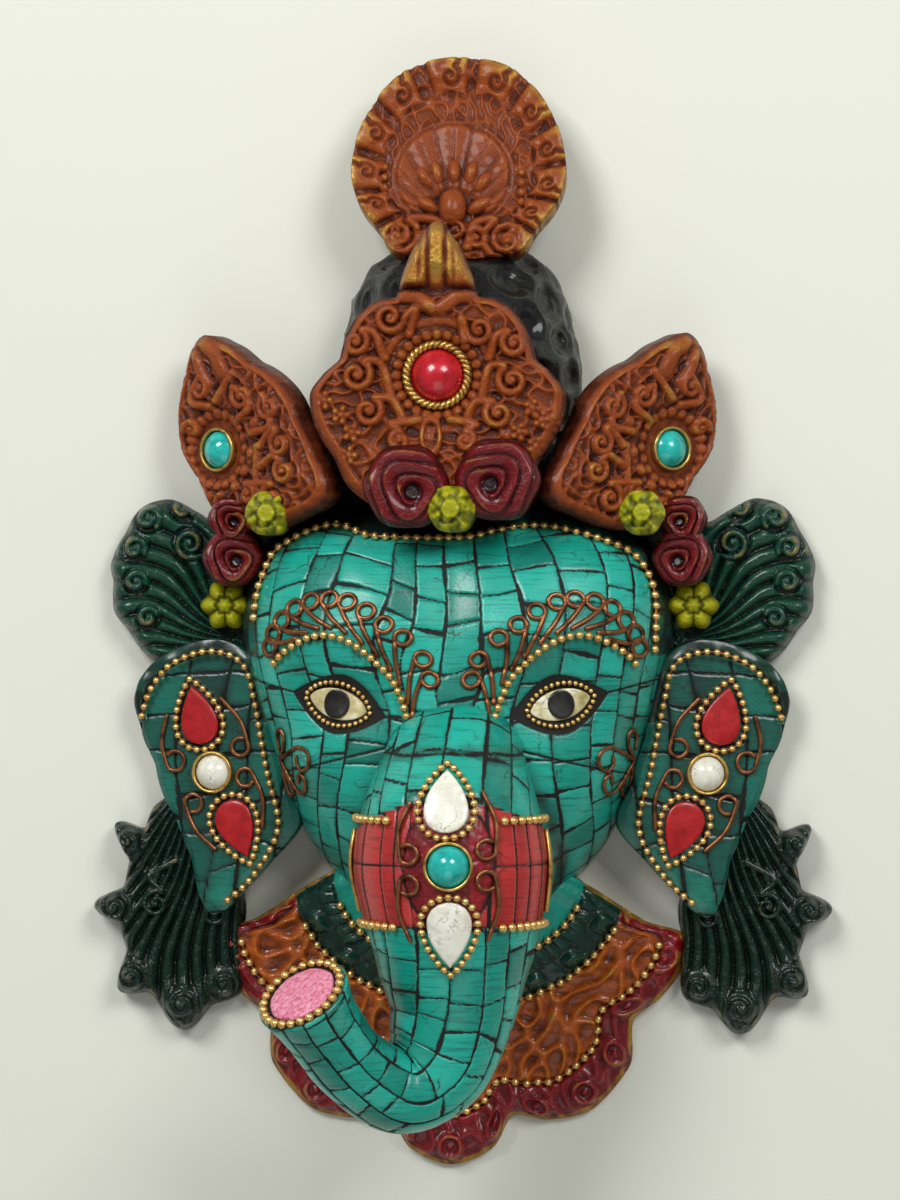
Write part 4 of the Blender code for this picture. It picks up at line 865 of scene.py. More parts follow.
def over_dome(share, angle, height, power, radius):
    """(u, v) laid over a dome: its arc length from the top times the cosine and sine of the angle."""
    line = np.linspace(0, 1, 200)
    arc = np.concatenate([[0.0], np.cumsum(np.hypot(np.diff(dome(line, height, power)),
                                                    radius * np.diff(line)))])
    length = np.interp(share, line, arc)
    return length * np.cos(np.radians(angle)), length * np.sin(np.radians(angle))


def face_front(share, x, y, angle):
    """A dome, with mounds for the brows, cheeks and bridge, and dips for the eyes."""
    relief = 3.0 * bump(x, y, 1, -8, 11, 20) - 1.6 * bump(x, y, 0, 35, 7, 16)
    for side in (-1, 1):
        relief = relief + 2.4 * bump(x, y, side * 35, 20, 20, 7) - 3.6 * bump(x, y, side * 33, 1, 14, 9)
        relief = relief + 2.2 * bump(x, y, side * 39, -24, 15, 15)
    return dome(share, *FACE_DOME) + np.clip(6 * (1 - share), 0, 1) * relief


def bun_front(share, x, y, angle):
    return dome(share, *BUN_DOME) + 0.9 * np.clip(4 * share * (1 - share), 0, 1)


def disc_front(share, x, y, angle):
    rim = np.clip((share - 0.80) / 0.06, 0, 1)
    fan = np.clip((0.74 - share) / 0.06, 0, 1) * np.clip(share / 0.3, 0, 1)
    return 1.1 + 1.1 * rim + 0.8 * fan + 1.2 * np.clip(1 - share / 0.3, 0, 1)


def front_leaf_front(share, x, y, angle):
    away = np.hypot(x, y)
    return 1.0 * bump(away, 0, 13.2, 0, 1.6, 1) + np.clip(8 * (1 - share), 0,
                                                          1) * 1.9 * np.clip((away - 14) / 5, 0, 1)


def side_leaf_front(share, x, y, angle):
    far = np.clip((np.hypot(x - LEAF_STONE_AT[0], y - LEAF_STONE_AT[1]) - 9.5) / 4, 0, 1)
    return 1.7 * far * np.clip(6 * (1 - share), 0, 1)


def fan_front(share, x, y, angle):
    return 6.4 + 1.8 * share - 4.5 * np.clip((share - 0.8) / 0.2, 0, 1) ** 2


def ear_front(share, x, y, angle):
    arch = np.clip((share - 0.86) / 0.06, 0, 1) * np.clip((y - 12) / 10, 0, 1)
    return 1.6 * arch - 1.2 * np.clip((share - 0.9) / 0.1, 0, 1) * (1 - np.clip((y - 8) / 8, 0, 1))


def foliage_front(share, x, y, angle):
    knobs = 0.0
    for degrees, radius in ((50, 26), (0, 20.5), (-53, 26), (-90, 29)):
        cx, cy = radius * math.cos(math.radians(degrees)), radius * math.sin(math.radians(degrees))
        knobs = knobs + 3.0 * bump(x, y, cx, cy, 5.5, 5.5)
    return 6.6 - 2.8 * np.clip((share - 0.82) / 0.18, 0, 1) ** 2 + knobs


def collar_front(share, x, y, angle):
    away = np.hypot((x + COLLAR_AT[0] - NECK_AT[0]) / 50.0, (y + COLLAR_AT[1] - NECK_AT[1]) / 39.0)
    slope = 21.0 - 12.5 * np.clip(away, 0, 1) ** 1.5 - 6.0 * np.clip((away - 1) / 0.75, 0, 1)
    return slope + 1.1 * bump(share, 0, 0.88, 0, 0.07, 1) - 1.5 * np.clip((share - 0.94) / 0.06, 0, 1)


def outline(knots, half=False, up=True):
    return (lambda angle: half_reach(knots, angle, up)) if half else (lambda angle: reach(knots, angle))


FACE = Plate(outline(FACE_HALF, True), face_front, FACE_AT, 0.0, thin=1.7)
BUN = Plate(outline(BUN_HALF, True), bun_front, BUN_AT, 0.0, thin=1.7)
COLLAR = Plate(outline(COLLAR_HALF, True, False), collar_front, COLLAR_AT, 0.0, thin=1.7)
DISC = Plate(outline(DISC_HALF, True), disc_front, DISC_AT, -5.5, DISC_TILT)
FRONT_LEAF = Plate(outline(FRONT_LEAF_HALF, True), front_leaf_front, FRONT_LEAF_AT, -7.0)
RIGHT_LEAF, LEFT_LEAF = (
    Plate(outline(SIDE_LEAF), side_leaf_front, (SIDE_LEAF_AT[0] + shift, *SIDE_LEAF_AT[1:]), -7.5, 0.0,
          SIDE_LEAF_TURN) for shift in (CROWN_SHIFT, -CROWN_SHIFT))
FANS = Plate(outline(FAN), fan_front, FAN_AT, 0.0)
EARS = Plate(outline(EAR), ear_front, EAR_AT, -5.5, 0.0, EAR_TURN)
LOWER = Plate(outline(FOLIAGE), foliage_front, FOLIAGE_AT, 0.0)


def trunk_frame(count):
    """Rows of the trunk's axis with its widths, and directions out of its front, carried along it
    without twist."""
    rows = curve_through(TRUNK, count)
    along = tangents(rows[:, :3])
    ups = np.cross(along, np.array([1.0, 0.0, 0.0]))
    ups = ups / np.linalg.norm(ups, axis=1)[:, None]
    carried = [ups[0]]
    for direction in along[1:]:
        previous = carried[-1] - np.dot(carried[-1], direction) * direction
        carried.append(previous / np.linalg.norm(previous))
    return rows, np.array(carried)


# Relief and wear of each form. Each function returns a height in mm and fields for the looks.

def face_relief(share, x, y, angle):
    """Chips laid over the dome. Resin fills a ring round each eye and everything above the bead chain."""
    sizes = bpy.context.scene.mask_sizes
    u, v = over_dome(share, angle, *FACE_DOME, 66.0)
    joint, tint, slant = chips(u * (1 + 0.0022 * v), v, sizes.chip_width * 1000, sizes.chip_length * 1000,
                               11, 1.2)
    wx, wy = x + FACE_AT[0], y + FACE_AT[1]
    # Darker toward the rim of the dome and just above the trunk's root
    grime = 0.55 * np.clip((share - 0.86) / 0.14, 0, 1) + 0.18 * bump(wx, wy, 0, -34, 9, 8)
    ring = np.full(x.shape, 9.0)
    for sign in (-1, 1):
        c, s = math.cos(math.radians(EYE_TURN)), sign * math.sin(math.radians(EYE_TURN))
        ex, ey = wx - sign * EYE_AT[0] + 1.0, wy - EYE_AT[1]
        ex, ey = c * ex + s * ey, c * ey - s * ex
        wide = np.clip(1 - (np.abs(ex) / 14.2) ** 1.7, 0, 1) * 8.4
        ring = np.minimum(ring, np.abs(ey) - wide)
        # Darker round each eye and along each brow
        grime = grime + 0.35 * bump(ex, ey, 0, 0, 17, 12)
        grime = grime + 0.22 * bump(wx, wy, sign * 36, -4, 18, 7)
    # Painted shade: darker along the crease where the trunk meets each cheek
    for sign in (-1, 1):
        crease, _ = away_from(sign * (wx - 1.0), wy,
                              ((12, -39.5), (19, -45), (27, -58), (29.5, -72), (28, -84)))
        grime = grime + 0.8 * np.exp(-((crease / 2.6) ** 2))
    chain_y = np.interp(wx, *zip(*sorted((px, py) for px, py in FOREHEAD if py > 4)))
    above = np.where(np.abs(wx) < 57, wy - chain_y - 0.6, -1)
    outside = np.where((np.abs(wx + 0.8) > 57.6) & (wy > -12) & (wy < 24), 1.0, 0.0)
    black = np.where((above > 0) & ((above > 5.5) | (wx < 12)), 1.0, 0.0)
    joint = np.minimum(joint, np.clip(ring, 0, 9))
    grime = grime + np.where(above > 0, 0.35, 0) + 0.6 * outside
    height = chip_rise(joint, slant) - 0.5 * black
    return height, {"joint": joint, "tint": tint, "grime": grime, "zone": 3.0 * black}


def hair_relief(share, x, y, angle):
    """Soft dished dents on a jittered hexagonal grid laid over the bun, each with a comma ridge curled
    inside it."""
    x, y = over_dome(share, angle, *BUN_DOME, 33.0)
    rng = np.random.default_rng(5)
    dish, comma = np.zeros(x.shape), np.zeros(x.shape)
    for j in range(-5, 6):
        for i in range(-5, 6):
            cx = (i + 0.5 * (j % 2)) * 13.5 + rng.uniform(-1.6, 1.6)
            cy = j * 11.7 + rng.uniform(-1.6, 1.6)
            lean = rng.uniform(0, math.tau)
            turn = np.arctan2(y - cy, x - cx) - lean
            t = np.hypot(x - cx, y - cy) / (6.4 + 0.7 * np.cos(turn))
            dish = np.maximum(dish, 1 - step(t, 0.35, 1.05))
            comma = np.maximum(comma, np.exp(-((t - 0.48 - 0.10 * np.cos(turn)) / 0.12) ** 2)
                               * np.clip(np.cos(turn), 0, 1))
    rise = 1.5 - 2.2 * dish + 0.8 * comma + 0.22 * speckle(x, y, 9, 15)
    rise = rise * np.clip((1 - share) * 30, 0.2, 1)
    return rise, {"worn": 0 * rise, "zone": 0 * rise}


def ground(x, y, size, seed):
    """Fine winding ridges that fill the carving's ground: (1 - 1.7 |noise|) ^ 1.5."""
    return np.clip(1 - 1.7 * np.abs(speckle(x, y, size, seed)), 0, 1) ** 1.5


def petal(x, y, cx, cy, length, width, lean):
    """A rounded petal: sqrt(1 - d^2), where d is the distance on an ellipse turned by lean degrees."""
    c, s = math.cos(math.radians(lean)), math.sin(math.radians(lean))
    u, v = c * (x - cx) + s * (y - cy), c * (y - cy) - s * (x - cx)
    return np.sqrt(np.clip(1 - (u / length) ** 2 - (v / width) ** 2, 0, 1))


def disc_relief(share, x, y, angle):
    """Rolled tabs round the rim, a sunk channel, a fan of flutes with a small lotus and a bud on it, two
    columns of beads, and two volutes at the foot."""
    away = (90.0 - angle + 180.0) % 360.0 - 180.0
    nearest = np.abs(away[..., None] - DISC_TABS).argmin(axis=-1)
    turn = away - np.array(DISC_TABS)[nearest]
    across, out = np.radians(turn) * 30.0, (share - 0.885) * 33.0
    block = np.clip(1 - (across / 5.4) ** 4, 0, 1)
    block = block * np.clip(1 - (out / (4.9 + 0.25 * np.abs(across))) ** 4, 0, 1)
    tab = np.sqrt(block)
    comma, _ = away_from(across, out, spiral(0.5, -1.3, 2.9, 1.15, 60, -1, ((3.2, 5.2), (2.7, 2.6))))
    rise = 2.3 * tab - 1.2 * np.exp(-((comma / 0.62) ** 2)) * tab
    # The fan of flutes in its oval rim
    inside = 1 - ((x + 1.6) / 17.8) ** 2 - ((y - 1.2) / 16.6) ** 2
    rho, phi = np.hypot(x + 1.6, y + 13.6), np.degrees(np.arctan2(y + 13.6, x + 1.6))
    flute = np.abs(np.cos(np.radians(phi - 90) * 8.2)) ** 0.55
    groove = 0.35 * np.exp(-((np.abs(((phi - 90) / 22 + 0.5) % 1 - 0.5)) / 0.06) ** 2)
    fan = np.clip(inside * 5, 0, 1) * (0.9 + 0.9 * flute - groove) * np.clip((rho - 8) / 3, 0, 1)
    rim = np.exp(-(inside / 0.07) ** 2) * np.where(y > -12, 1, 0)
    rise = rise + np.maximum(fan, 0.9 * rim)
    for px, py, lean in ((-9.8, 0.2, 125), (-6.4, 1.7, 106), (-1.2, 2.1, 90), (3.9, 1.7, 74), (7.3, -1.3, 52),
                         (-9.0, -8.0, 150), (6.6, -8.2, 30)):
        rise = np.maximum(rise, 2.9 * petal(x, y, px, py, 4.4, 2.3, lean))
    rise = np.maximum(rise, 3.9 * petal(x, y, -1.7, -8.6, 5.9, 4.5, 90))
    oval = np.abs(np.hypot((x + 1.5) / 3.2, (y + 15.5) / 2.2) - 1) * 2.7
    rise = np.maximum(rise, 1.9 * round_ridge(oval, 0.9))
    beads = [(-22.0, y0) for y0 in (4.0, 0.8, -2.4, -5.6, -8.8)]
    beads += [(18.6, y0) for y0 in (1.8, -1.2, -4.2, -7.2, -10)]
    rise = np.maximum(rise, 1.7 * dots(x, y, beads, 1.45))
    scrolls = volutes(x, y, ((-17.4, -17.5, 6.2, 1.8, 60, -1, ((-3, -19), (-6, -13))),
                             (14.6, -19.0, 7.4, 2.1, 120, 1, ((3, -21), (5, -14))),
                             (-8.4, -19.5, 3.0, 1.1, 90, 1, None), (5.6, -18.5, 3.0, 1.1, 90, -1, None)), 1.5)
    rise = np.maximum(rise, 2.4 * scrolls)
    rise = np.maximum(rise, 0.9 * ground(x, y, 5.0, 61)) + 0.12 * speckle(x, y, 5, 3)
    worn = 0.34 * tab * step(share, 0.80, 0.98)
    worn = worn + 0.3 * step(share, 0.95, 1.0) * np.where(np.abs(away) < 140, 1, 0)
    return rise, {"worn": worn, "zone": 0 * rise}


def front_leaf_relief(share, x, y, angle):
    """A fluted spearhead over a rosette: knobs round the stone, leafy curls on both sides, a tongue
    under it and clusters of florets on the two lower lobes."""
    turn = np.radians(np.arange(24) * 15.0)
    rise = 1.5 * dots(x, y, zip(11.7 * np.cos(turn), 11.7 * np.sin(turn)), 1.6)
    rise = np.maximum(rise, 1.1 * round_ridge(np.abs(np.hypot(x, y) - 15.6), 1.3))
    items = []
    for cx, cy, r, start, spin, stem in (
            (-13.5, 16.6, 4.6, 0, -1, ((-8, 12), (-6, 19))),
            (12.3, 12.9, 4.0, 180, 1, ((8, 10), (7, 16))),
            (-23.5, 9.5, 3.8, 60, -1, ((-15, 5), (-18, 12))),
            (22.4, 8.9, 3.8, 120, 1, ((15, 5), (17, 11))),
            (-23.2, 0.0, 4.6, 60, -1, ((-13, -7), (-16, 3))),
            (21.8, -1.7, 4.6, 120, 1, ((13, -7), (15, 2))),
            (-19.8, -10.3, 4.3, 60, -1, ((-10, -12), (-13, -7))),
            (17.8, -11.2, 4.3, 120, 1, ((9, -12), (11, -8))),
            (-10.6, -19.0, 2.9, 90, 1, ((-5, -13), (-13, -14))),
            (8.2, -19.0, 2.9, 90, -1, ((4, -13), (11, -14)))):
        items.append((cx, cy, r, 1.35, start, spin, stem))
    rise = np.maximum(rise, 2.3 * volutes(x, y, items, 1.45))
    for side in (-1, 1):
        leaf, _ = away_from(x, y, ((side * 1.0, 19.0), (side * 6.0, 22.6), (side * 11.0, 23.0)))
        rise = np.maximum(rise, 1.9 * round_ridge(leaf, 2.4))
    tongue = np.abs(np.hypot((x + 1.7) / 2.6, (y + 17.5) / 5.0) - 1) * 3.4
    rise = np.maximum(rise, 2.0 * round_ridge(tongue, 1.2))
    rise = np.maximum(rise, 1.2 * petal(x, y, -1.7, -17.5, 1.5, 3.6, 0))
    florets = []
    for cx, cy in ((-32.7, -7.2), (-27.6, -11.5), (-24.4, -16.6), (-25.5, -23.0),
                   (27.6, -9.8), (30.1, -13.0), (33.3, -14.1), (23.8, -16.6), (28.6, -20.5)):
        florets += [(cx + 1.9 * math.cos(a), cy + 1.9 * math.sin(a)) for a in np.arange(5) * math.tau / 5]
        florets.append((cx, cy))
    rise = np.maximum(rise, 2.0 * dots(x, y, florets, 1.15))
    rise = np.maximum(rise, 1.3 * ground(x, y, 6.0, 62) * step(np.hypot(x, y), 13, 16))
    rise = np.maximum(rise, 1.7 * round_ridge((share - 0.945) * 33.0, 1.3))
    tip = (y > 24) & (np.abs(x) < 12)
    spear = 2.2 * np.clip(share * 9 - 5.6, 0, 1) + 0.9 * round_ridge(np.abs(x), 1.9)
    for groove, depth in ((2.6, 0.9), (5.0, 0.6)):
        spear = spear - depth * np.exp(-((np.abs(x) - groove) / 0.5) ** 2)
    rise = np.where(tip, np.clip(1.2 + spear, 0, 4) * step(y, 24, 27), rise)
    rise = rise * np.clip((1 - share) * 9 + 0.35, 0, 1) + 0.12 * speckle(x, y, 5, 4)
    worn = 0.42 * step(y, 25, 31) + 0.3 * step(share, 0.93, 1.0) * step(y, -12, 4)
    return rise, {"worn": worn, "zone": 0 * rise}


def side_leaf_relief(share, x, y, angle):
    """Knobs round the stone, a ridge that runs up to the tip lobe, and curls down the inner edge."""
    turn = np.radians(np.arange(20) * 18.0)
    gx, gy = LEAF_STONE_AT
    rise = 1.6 * dots(x, y, zip(gx + 10.6 * np.cos(turn), gy + 10.6 * np.sin(turn)), 1.7)
    items = ((-1.1, 11.9, 3.9, 1.3, 40, -1, ((2, 4), (-4, 9))),
             (-11.4, 8.2, 3.8, 1.3, 60, -1, ((-5, 1), (-12, 3))),
             (-15.7, -2.5, 3.6, 1.3, 60, -1, ((-8, -3), (-13, 2))),
             (-17.3, -10.5, 3.6, 1.3, 60, -1, ((-8, -9), (-13, -6))),
             (-12.5, -18.5, 4.2, 1.3, 90, -1, ((-3, -14), (-9, -14))),
             (15.6, 14.5, 3.3, 1.2, 90, 1, ((12, 9), (19, 11))),
             (-3.5, -17.0, 3.0, 1.2, 90, 1, None), (6.0, -20.0, 3.2, 1.2, 60, -1, None),
             (19.5, 2.5, 2.6, 1.1, 0, 1, None))
    rise = np.maximum(rise, 2.2 * volutes(x, y, items, 1.4))
    for path, half in ((((3.2, 18.6), (6.0, 15.0), (9.4, 11.0)), 1.5),
                       (((6.5, 19.0), (10.5, 25.0), (14.5, 28.0)), 2.6),
                       (((12.5, 16.0), (15.5, 20.0), (17.5, 24.5)), 2.2),
                       (((-9.5, -24.0), (-6.5, -13.0), (-6.8, -3.0)), 1.3)):
        distance, _ = away_from(x, y, path)
        rise = np.maximum(rise, 2.0 * round_ridge(distance, half))
    pebbles = [(2.0, -14.5), (-1.5, -10.0), (-4.4, -5.0), (12.0, -17.5), (16.5, -13.0), (1.0, -22.0),
               (-5.8, 4.0)]
    rise = np.maximum(rise, 1.9 * dots(x, y, pebbles, 2.0))
    rise = np.maximum(rise, 1.2 * ground(x, y, 6.0, 63) * step(np.hypot(x - gx, y - gy), 12, 14))
    rise = np.maximum(rise, 1.5 * round_ridge((share - 0.945) * 24.0, 1.2))
    rise = rise * np.clip((1 - share) * 9 + 0.3, 0, 1) + 0.15 * speckle(x, y, 4, 8)
    worn = 0.25 * step(share, 0.9, 1.0) * step(y, 5, 22) + 0.18 * step(y, 20, 28)
    return rise, {"worn": worn, "zone": 0 * rise}


def band_relief(share, x, y, angle):
    """Low strands of hair under the crown."""
    rise = 0.8 * speckle(x, y, 6, 9) + 0.8
    return rise, {"worn": 0 * rise, "zone": 0 * rise}


def fan_relief(share, x, y, angle):
    """Strands that spread from the head side in waves: |cos(19 phi + 95 sin(rho / 6.5))|, with a curl in
    each rim lobe and one in the middle."""
    rho, phi = np.hypot(x + 14.0, y + 15.0), np.degrees(np.arctan2(y + 15.0, x + 14.0))
    strand = np.abs(np.cos(np.radians(phi * 19 + 95 * np.sin(rho / 6.5 + 0.5) + 2.0 * rho)))
    rise = 0.3 + 2.0 * strand**0.8
    items = ((1.0, 14.0, 4.4, 1.6, 250, 1, ((-10, 0), (-6, 9))), (3.0, 24.6, 3.4, 1.3, 200, -1, None),
             (13.6, 21.6, 3.8, 1.4, 220, -1, None), (17.6, 12.6, 3.4, 1.3, 200, -1, None),
             (17.2, 2.6, 3.2, 1.3, 180, -1, None), (13.6, -8.0, 3.0, 1.2, 150, -1, None))
    curl = volutes(x, y, items, 1.35)
    near = np.zeros(x.shape)
    for cx, cy, r, *_ in items:
        near = np.maximum(near, 1 - step(np.hypot(x - cx, y - cy), r, r + 1.8))
    rise = np.where(near > 0.02, rise * (1 - near) + near * (0.5 + 2.6 * curl), rise)
    rise = rise * np.clip((1 - share) * 10 + 0.45, 0, 1) + 0.12 * speckle(x, y, 4, 12)
    worn = 0.34 * step(share, 0.92, 1.0) * step(x, 0, 12)
    return rise, {"worn": worn, "zone": 0 * rise}


def ear_relief(share, x, y, angle):
    """Chips on the flap, and a smooth enamelled arch over it, rolled along its top."""
    arch = np.clip((share - 0.855) / 0.03, 0, 1) * step(y, 9, 13)
    joint, tint, slant = chips(x + 0.10 * y, y, *EAR_CHIP, 31, 3.0)
    chip = chip_rise(joint, slant) + 0.45
    roll = 1.1 * round_ridge(share - 0.935, 0.075) + 0.35 * speckle(x, y, 8, 33)
    rise = chip * (1 - arch) + arch * roll
    # Darker in the middle of the flap and lighter toward its outer edge
    grime = 0.50 * bump(x, y, -3, 2, 11, 30) + 0.25 - 0.35 * step(x, 8, 16)
    return rise, {"joint": np.where(arch > 0.5, 9, joint), "tint": tint, "grime": grime,
                  "zone": 2.0 * (arch > 0.5)}


def foliage_relief(share, x, y, angle):
    """Strands that flow down from under the ear and curl over into knobs at the rim."""
    phi = np.degrees(np.arctan2(x + 10.0, 46.0 - y))
    rise = 0.2 + 1.8 * np.abs(np.cos(np.radians(phi * 46 + 80 * np.sin(y / 8.0)))) ** 0.8
    near = np.zeros(x.shape)
    for number, (kx, ky) in enumerate(KNOBS):
        r = np.hypot(x - kx, y - ky)
        near = np.maximum(near, 1 - step(r, 4.2, 6.0))
        dimple = spiral(kx, ky, 4.4, 1.6, 200 + 30 * number, -1)
        distance, _ = away_from(x, y, dimple)
        knob = 2.6 * round_ridge(r, 6.2) - 0.9 * round_ridge(distance, 0.75)
        rise = np.where(r < 6.2, np.maximum(rise * (1 - near), knob), rise)
    items = ((8.2, 0.8, 4.2, 1.5, 120, -1, ((2, 14), (10, 9))),
             (-9.1, -2.2, 3.8, 1.5, 60, 1, ((-6, 10), (-13, 5))))
    rise = np.maximum(rise, 2.6 * volutes(x, y, items, 1.3))
    rise = rise * np.clip((1 - share) * 10 + 0.5, 0, 1) + 0.12 * speckle(x, y, 4, 21)
    worn = 0.40 * step(share, 0.90, 1.0) * np.where((x > 2) | (y < -12), 1, 0)
    return rise, {"worn": worn, "zone": 1.0 + 0 * rise}


def hem_share(angle):
    """Where the hem's chain runs, as a share of the outline: it nears the edge toward the shoulders."""
    return 0.76 + 0.12 * (((angle + 270.0) % 360.0 - 180.0) / 94.0) ** 2


def collar_relief(share, x, y, angle):
    """Four bands: a smooth neck, a fluted green one with knobs, a carved brown one, and a scarf whose
    scrolls follow the hem."""
    nx, ny = x + COLLAR_AT[0] - NECK_AT[0], y + COLLAR_AT[1] - NECK_AT[1]
    inner, middle = np.hypot(nx / 37.0, ny / 26.0), np.hypot(nx / 50.0, ny / 39.0)
    outer = share / hem_share(angle)
    zone = np.where(inner < 1, 0, np.where(middle < 1, 1, np.where(outer < 1, 2, 3))).astype(float)
    turn = np.degrees(np.arctan2(ny, nx))
    flutes = 1.2 * np.abs(np.cos(np.radians(turn) * 34 + 5 * middle)) ** 0.8
    knobs = np.clip(np.cos(np.radians(turn) * 20), 0, 1) ** 0.7 * bump(middle, 0, 0.91, 0, 0.05, 1)
    green = flutes * (1 - step(middle, 0.80, 0.86)) + 2.4 * knobs + 0.3 * speckle(x, y, 4, 45)
    carved = 0.5 + 1.8 * ground(x, y, 10.0, 41) + 0.3 * speckle(x, y, 4, 42)
    leaf = np.cos(np.radians(turn) * 16 + 3 * middle) * bump(middle, 0, 1.22, 0, 0.16, 1)
    carved = carved + 1.0 * np.clip(leaf, 0, 1)
    away = (angle + 270.0) % 360.0 - 180.0
    lobe = (away / 15.0 + 0.5) % 1.0 - 0.5
    radial = (share - 0.91) * 60
    swirl = np.hypot(lobe * 15 * math.pi / 180 * 56, radial)
    scarf = 1.8 * np.exp(-((swirl - 3.1) / 0.9) ** 2) + 1.6 * np.exp(-(swirl / 1.1) ** 2)
    scarf = scarf + 0.3 * speckle(x, y, 6, 43)
    scarf = 0.6 + np.maximum(scarf, 1.3 * ground(x, y, 8.0, 44) * step(swirl, 3.6, 4.6))
    rise = np.where(zone < 0.5, 0.1, np.where(zone < 1.5, green, np.where(zone < 2.5, carved, scarf)))
    for edge, wide in ((inner - 1, 0.02), (middle - 1, 0.015), (outer - 1, 0.02)):
        rise = rise * (1 - np.exp(-(edge / wide) ** 2))
    rise = np.clip(rise, 0, 3.4) * np.clip((1 - share) * 14 + 0.4, 0, 1)
    worn = 0.75 * step(share, 0.96, 0.985) - 0.5 * (zone < 0.5) - 0.12 * (zone == 1) + 0.05 * (zone == 2)
    return rise, {"worn": worn, "zone": zone}


def flower_look(kind, lean=1.0):
    """A rose, a bud of soft crumbs round a smooth button, or a daisy. The rose's petals are one spiral
    of overlapping edges, (3.1 d - angle / 360) mod 1, about a hollow heart that leans toward the nose."""
    def relief(share, x, y, angle):
        turn = np.radians(angle)
        if kind == "bud":
            crumbs = 0.6 * np.cos(7 * turn) * share + 0.9 * np.abs(speckle(x, y, 4.2, 6))
            crumbs = crumbs + 0.3 * speckle(x, y, 1.8, 7)
            button = 1 - step(share, 0.34, 0.46)
            rise = 0.4 + crumbs * (1 - 0.8 * button) + 1.7 * button
            return rise, {"worn": 0 * rise, "zone": 0 * rise}
        if kind == "daisy":
            rise = 1.9 * np.abs(np.cos(3 * turn)) ** 0.6 * step(share, 0.3, 0.5)
            rise = rise + 2.2 * np.clip(1 - share / 0.34, 0, 1) ** 0.5 - 0.8 * step(share, 0.8, 1.0)
            return rise, {"worn": 0 * rise, "zone": 0 * rise}
        size = np.hypot(x, y).max()
        hx, hy = -0.16 * size * np.sign(lean), -0.14 * size
        d, phi = np.hypot(x - hx, y - hy) / size, np.arctan2(y - hy, (x - hx) * np.sign(lean))
        wrap = (d * (3.1 + 0.4 * np.cos(3 * phi + 1)) - phi / math.tau - 0.1) % 1.0
        rings = wrap**0.6 * (1 - step(wrap, 0.86, 1.0))
        heart = 1 - step(d, 0.12, 0.30)
        rise = (1.9 * rings + 0.4) * (1 - heart) - 0.3 * heart
        rise = rise * np.clip((1.02 - share) * 6, 0, 1)
        return rise, {"worn": 0.12 * rings - 0.6 * heart, "zone": heart}
    return relief


def flower_front(rise, kind):
    def front(share, x, y, angle):
        cup = 1.6 * bump(share, 0, 0, 0, 0.4, 1) if kind == "flower" else 0.0
        return rise - 3.5 * share**3 - cup
    return front


# Skins of the casting

def add_casting():
    """The metal under the skins: a merged copy of the casting, drawn in by 1.2 mm along its normals, so
    that its back and its hollows show. Its back is bare, and its front black where it shows at a joint."""
    shape = bmesh.new()
    shape.from_mesh(frame["nodes"]["cast_mask"].data)
    bmesh.ops.remove_doubles(shape, verts=shape.verts, dist=2e-5)
    shape.normal_update()
    mesh = bpy.data.meshes.new("bare_casting")
    shape.to_mesh(mesh)
    shape.free()
    count = len(mesh.vertices)
    points, normals = np.empty(count * 3, np.float32), np.empty(count * 3, np.float32)
    mesh.vertices.foreach_get("co", points)
    mesh.vertices.foreach_get("normal", normals)
    points, normals = points.reshape(-1, 3), normals.reshape(-1, 3)
    inward = points - 0.0012 * normals
    inward[:, 2] = np.where(points[:, 2] < 2e-4, points[:, 2], inward[:, 2])
    mesh.vertices.foreach_set("co", inward.ravel())
    mesh.polygons.foreach_set("use_smooth", np.ones(len(mesh.polygons), bool))
    mesh.set_sharp_from_angle(angle=math.radians(40))
    store = mesh.attributes.new("worn", "FLOAT", "POINT")
    store.data.foreach_set("value", np.where(normals[:, 2] > 0.2, -2.0, 2.0).astype(np.float32))
    mesh.materials.clear()
    mesh.materials.append(finish("bare cast brass"))
    made = bpy.data.objects.new("bare_casting", mesh)
    bpy.context.scene.collection.objects.link(made)
    settle(made, "cast_brass", "cast_mask")


def band_top(x):
    """Upper edge of the coral band: it droops by 8.5 mm toward both sides."""
    return -51.5 - (np.abs(x - 1.0) / 27.0) ** 2 * 8.5


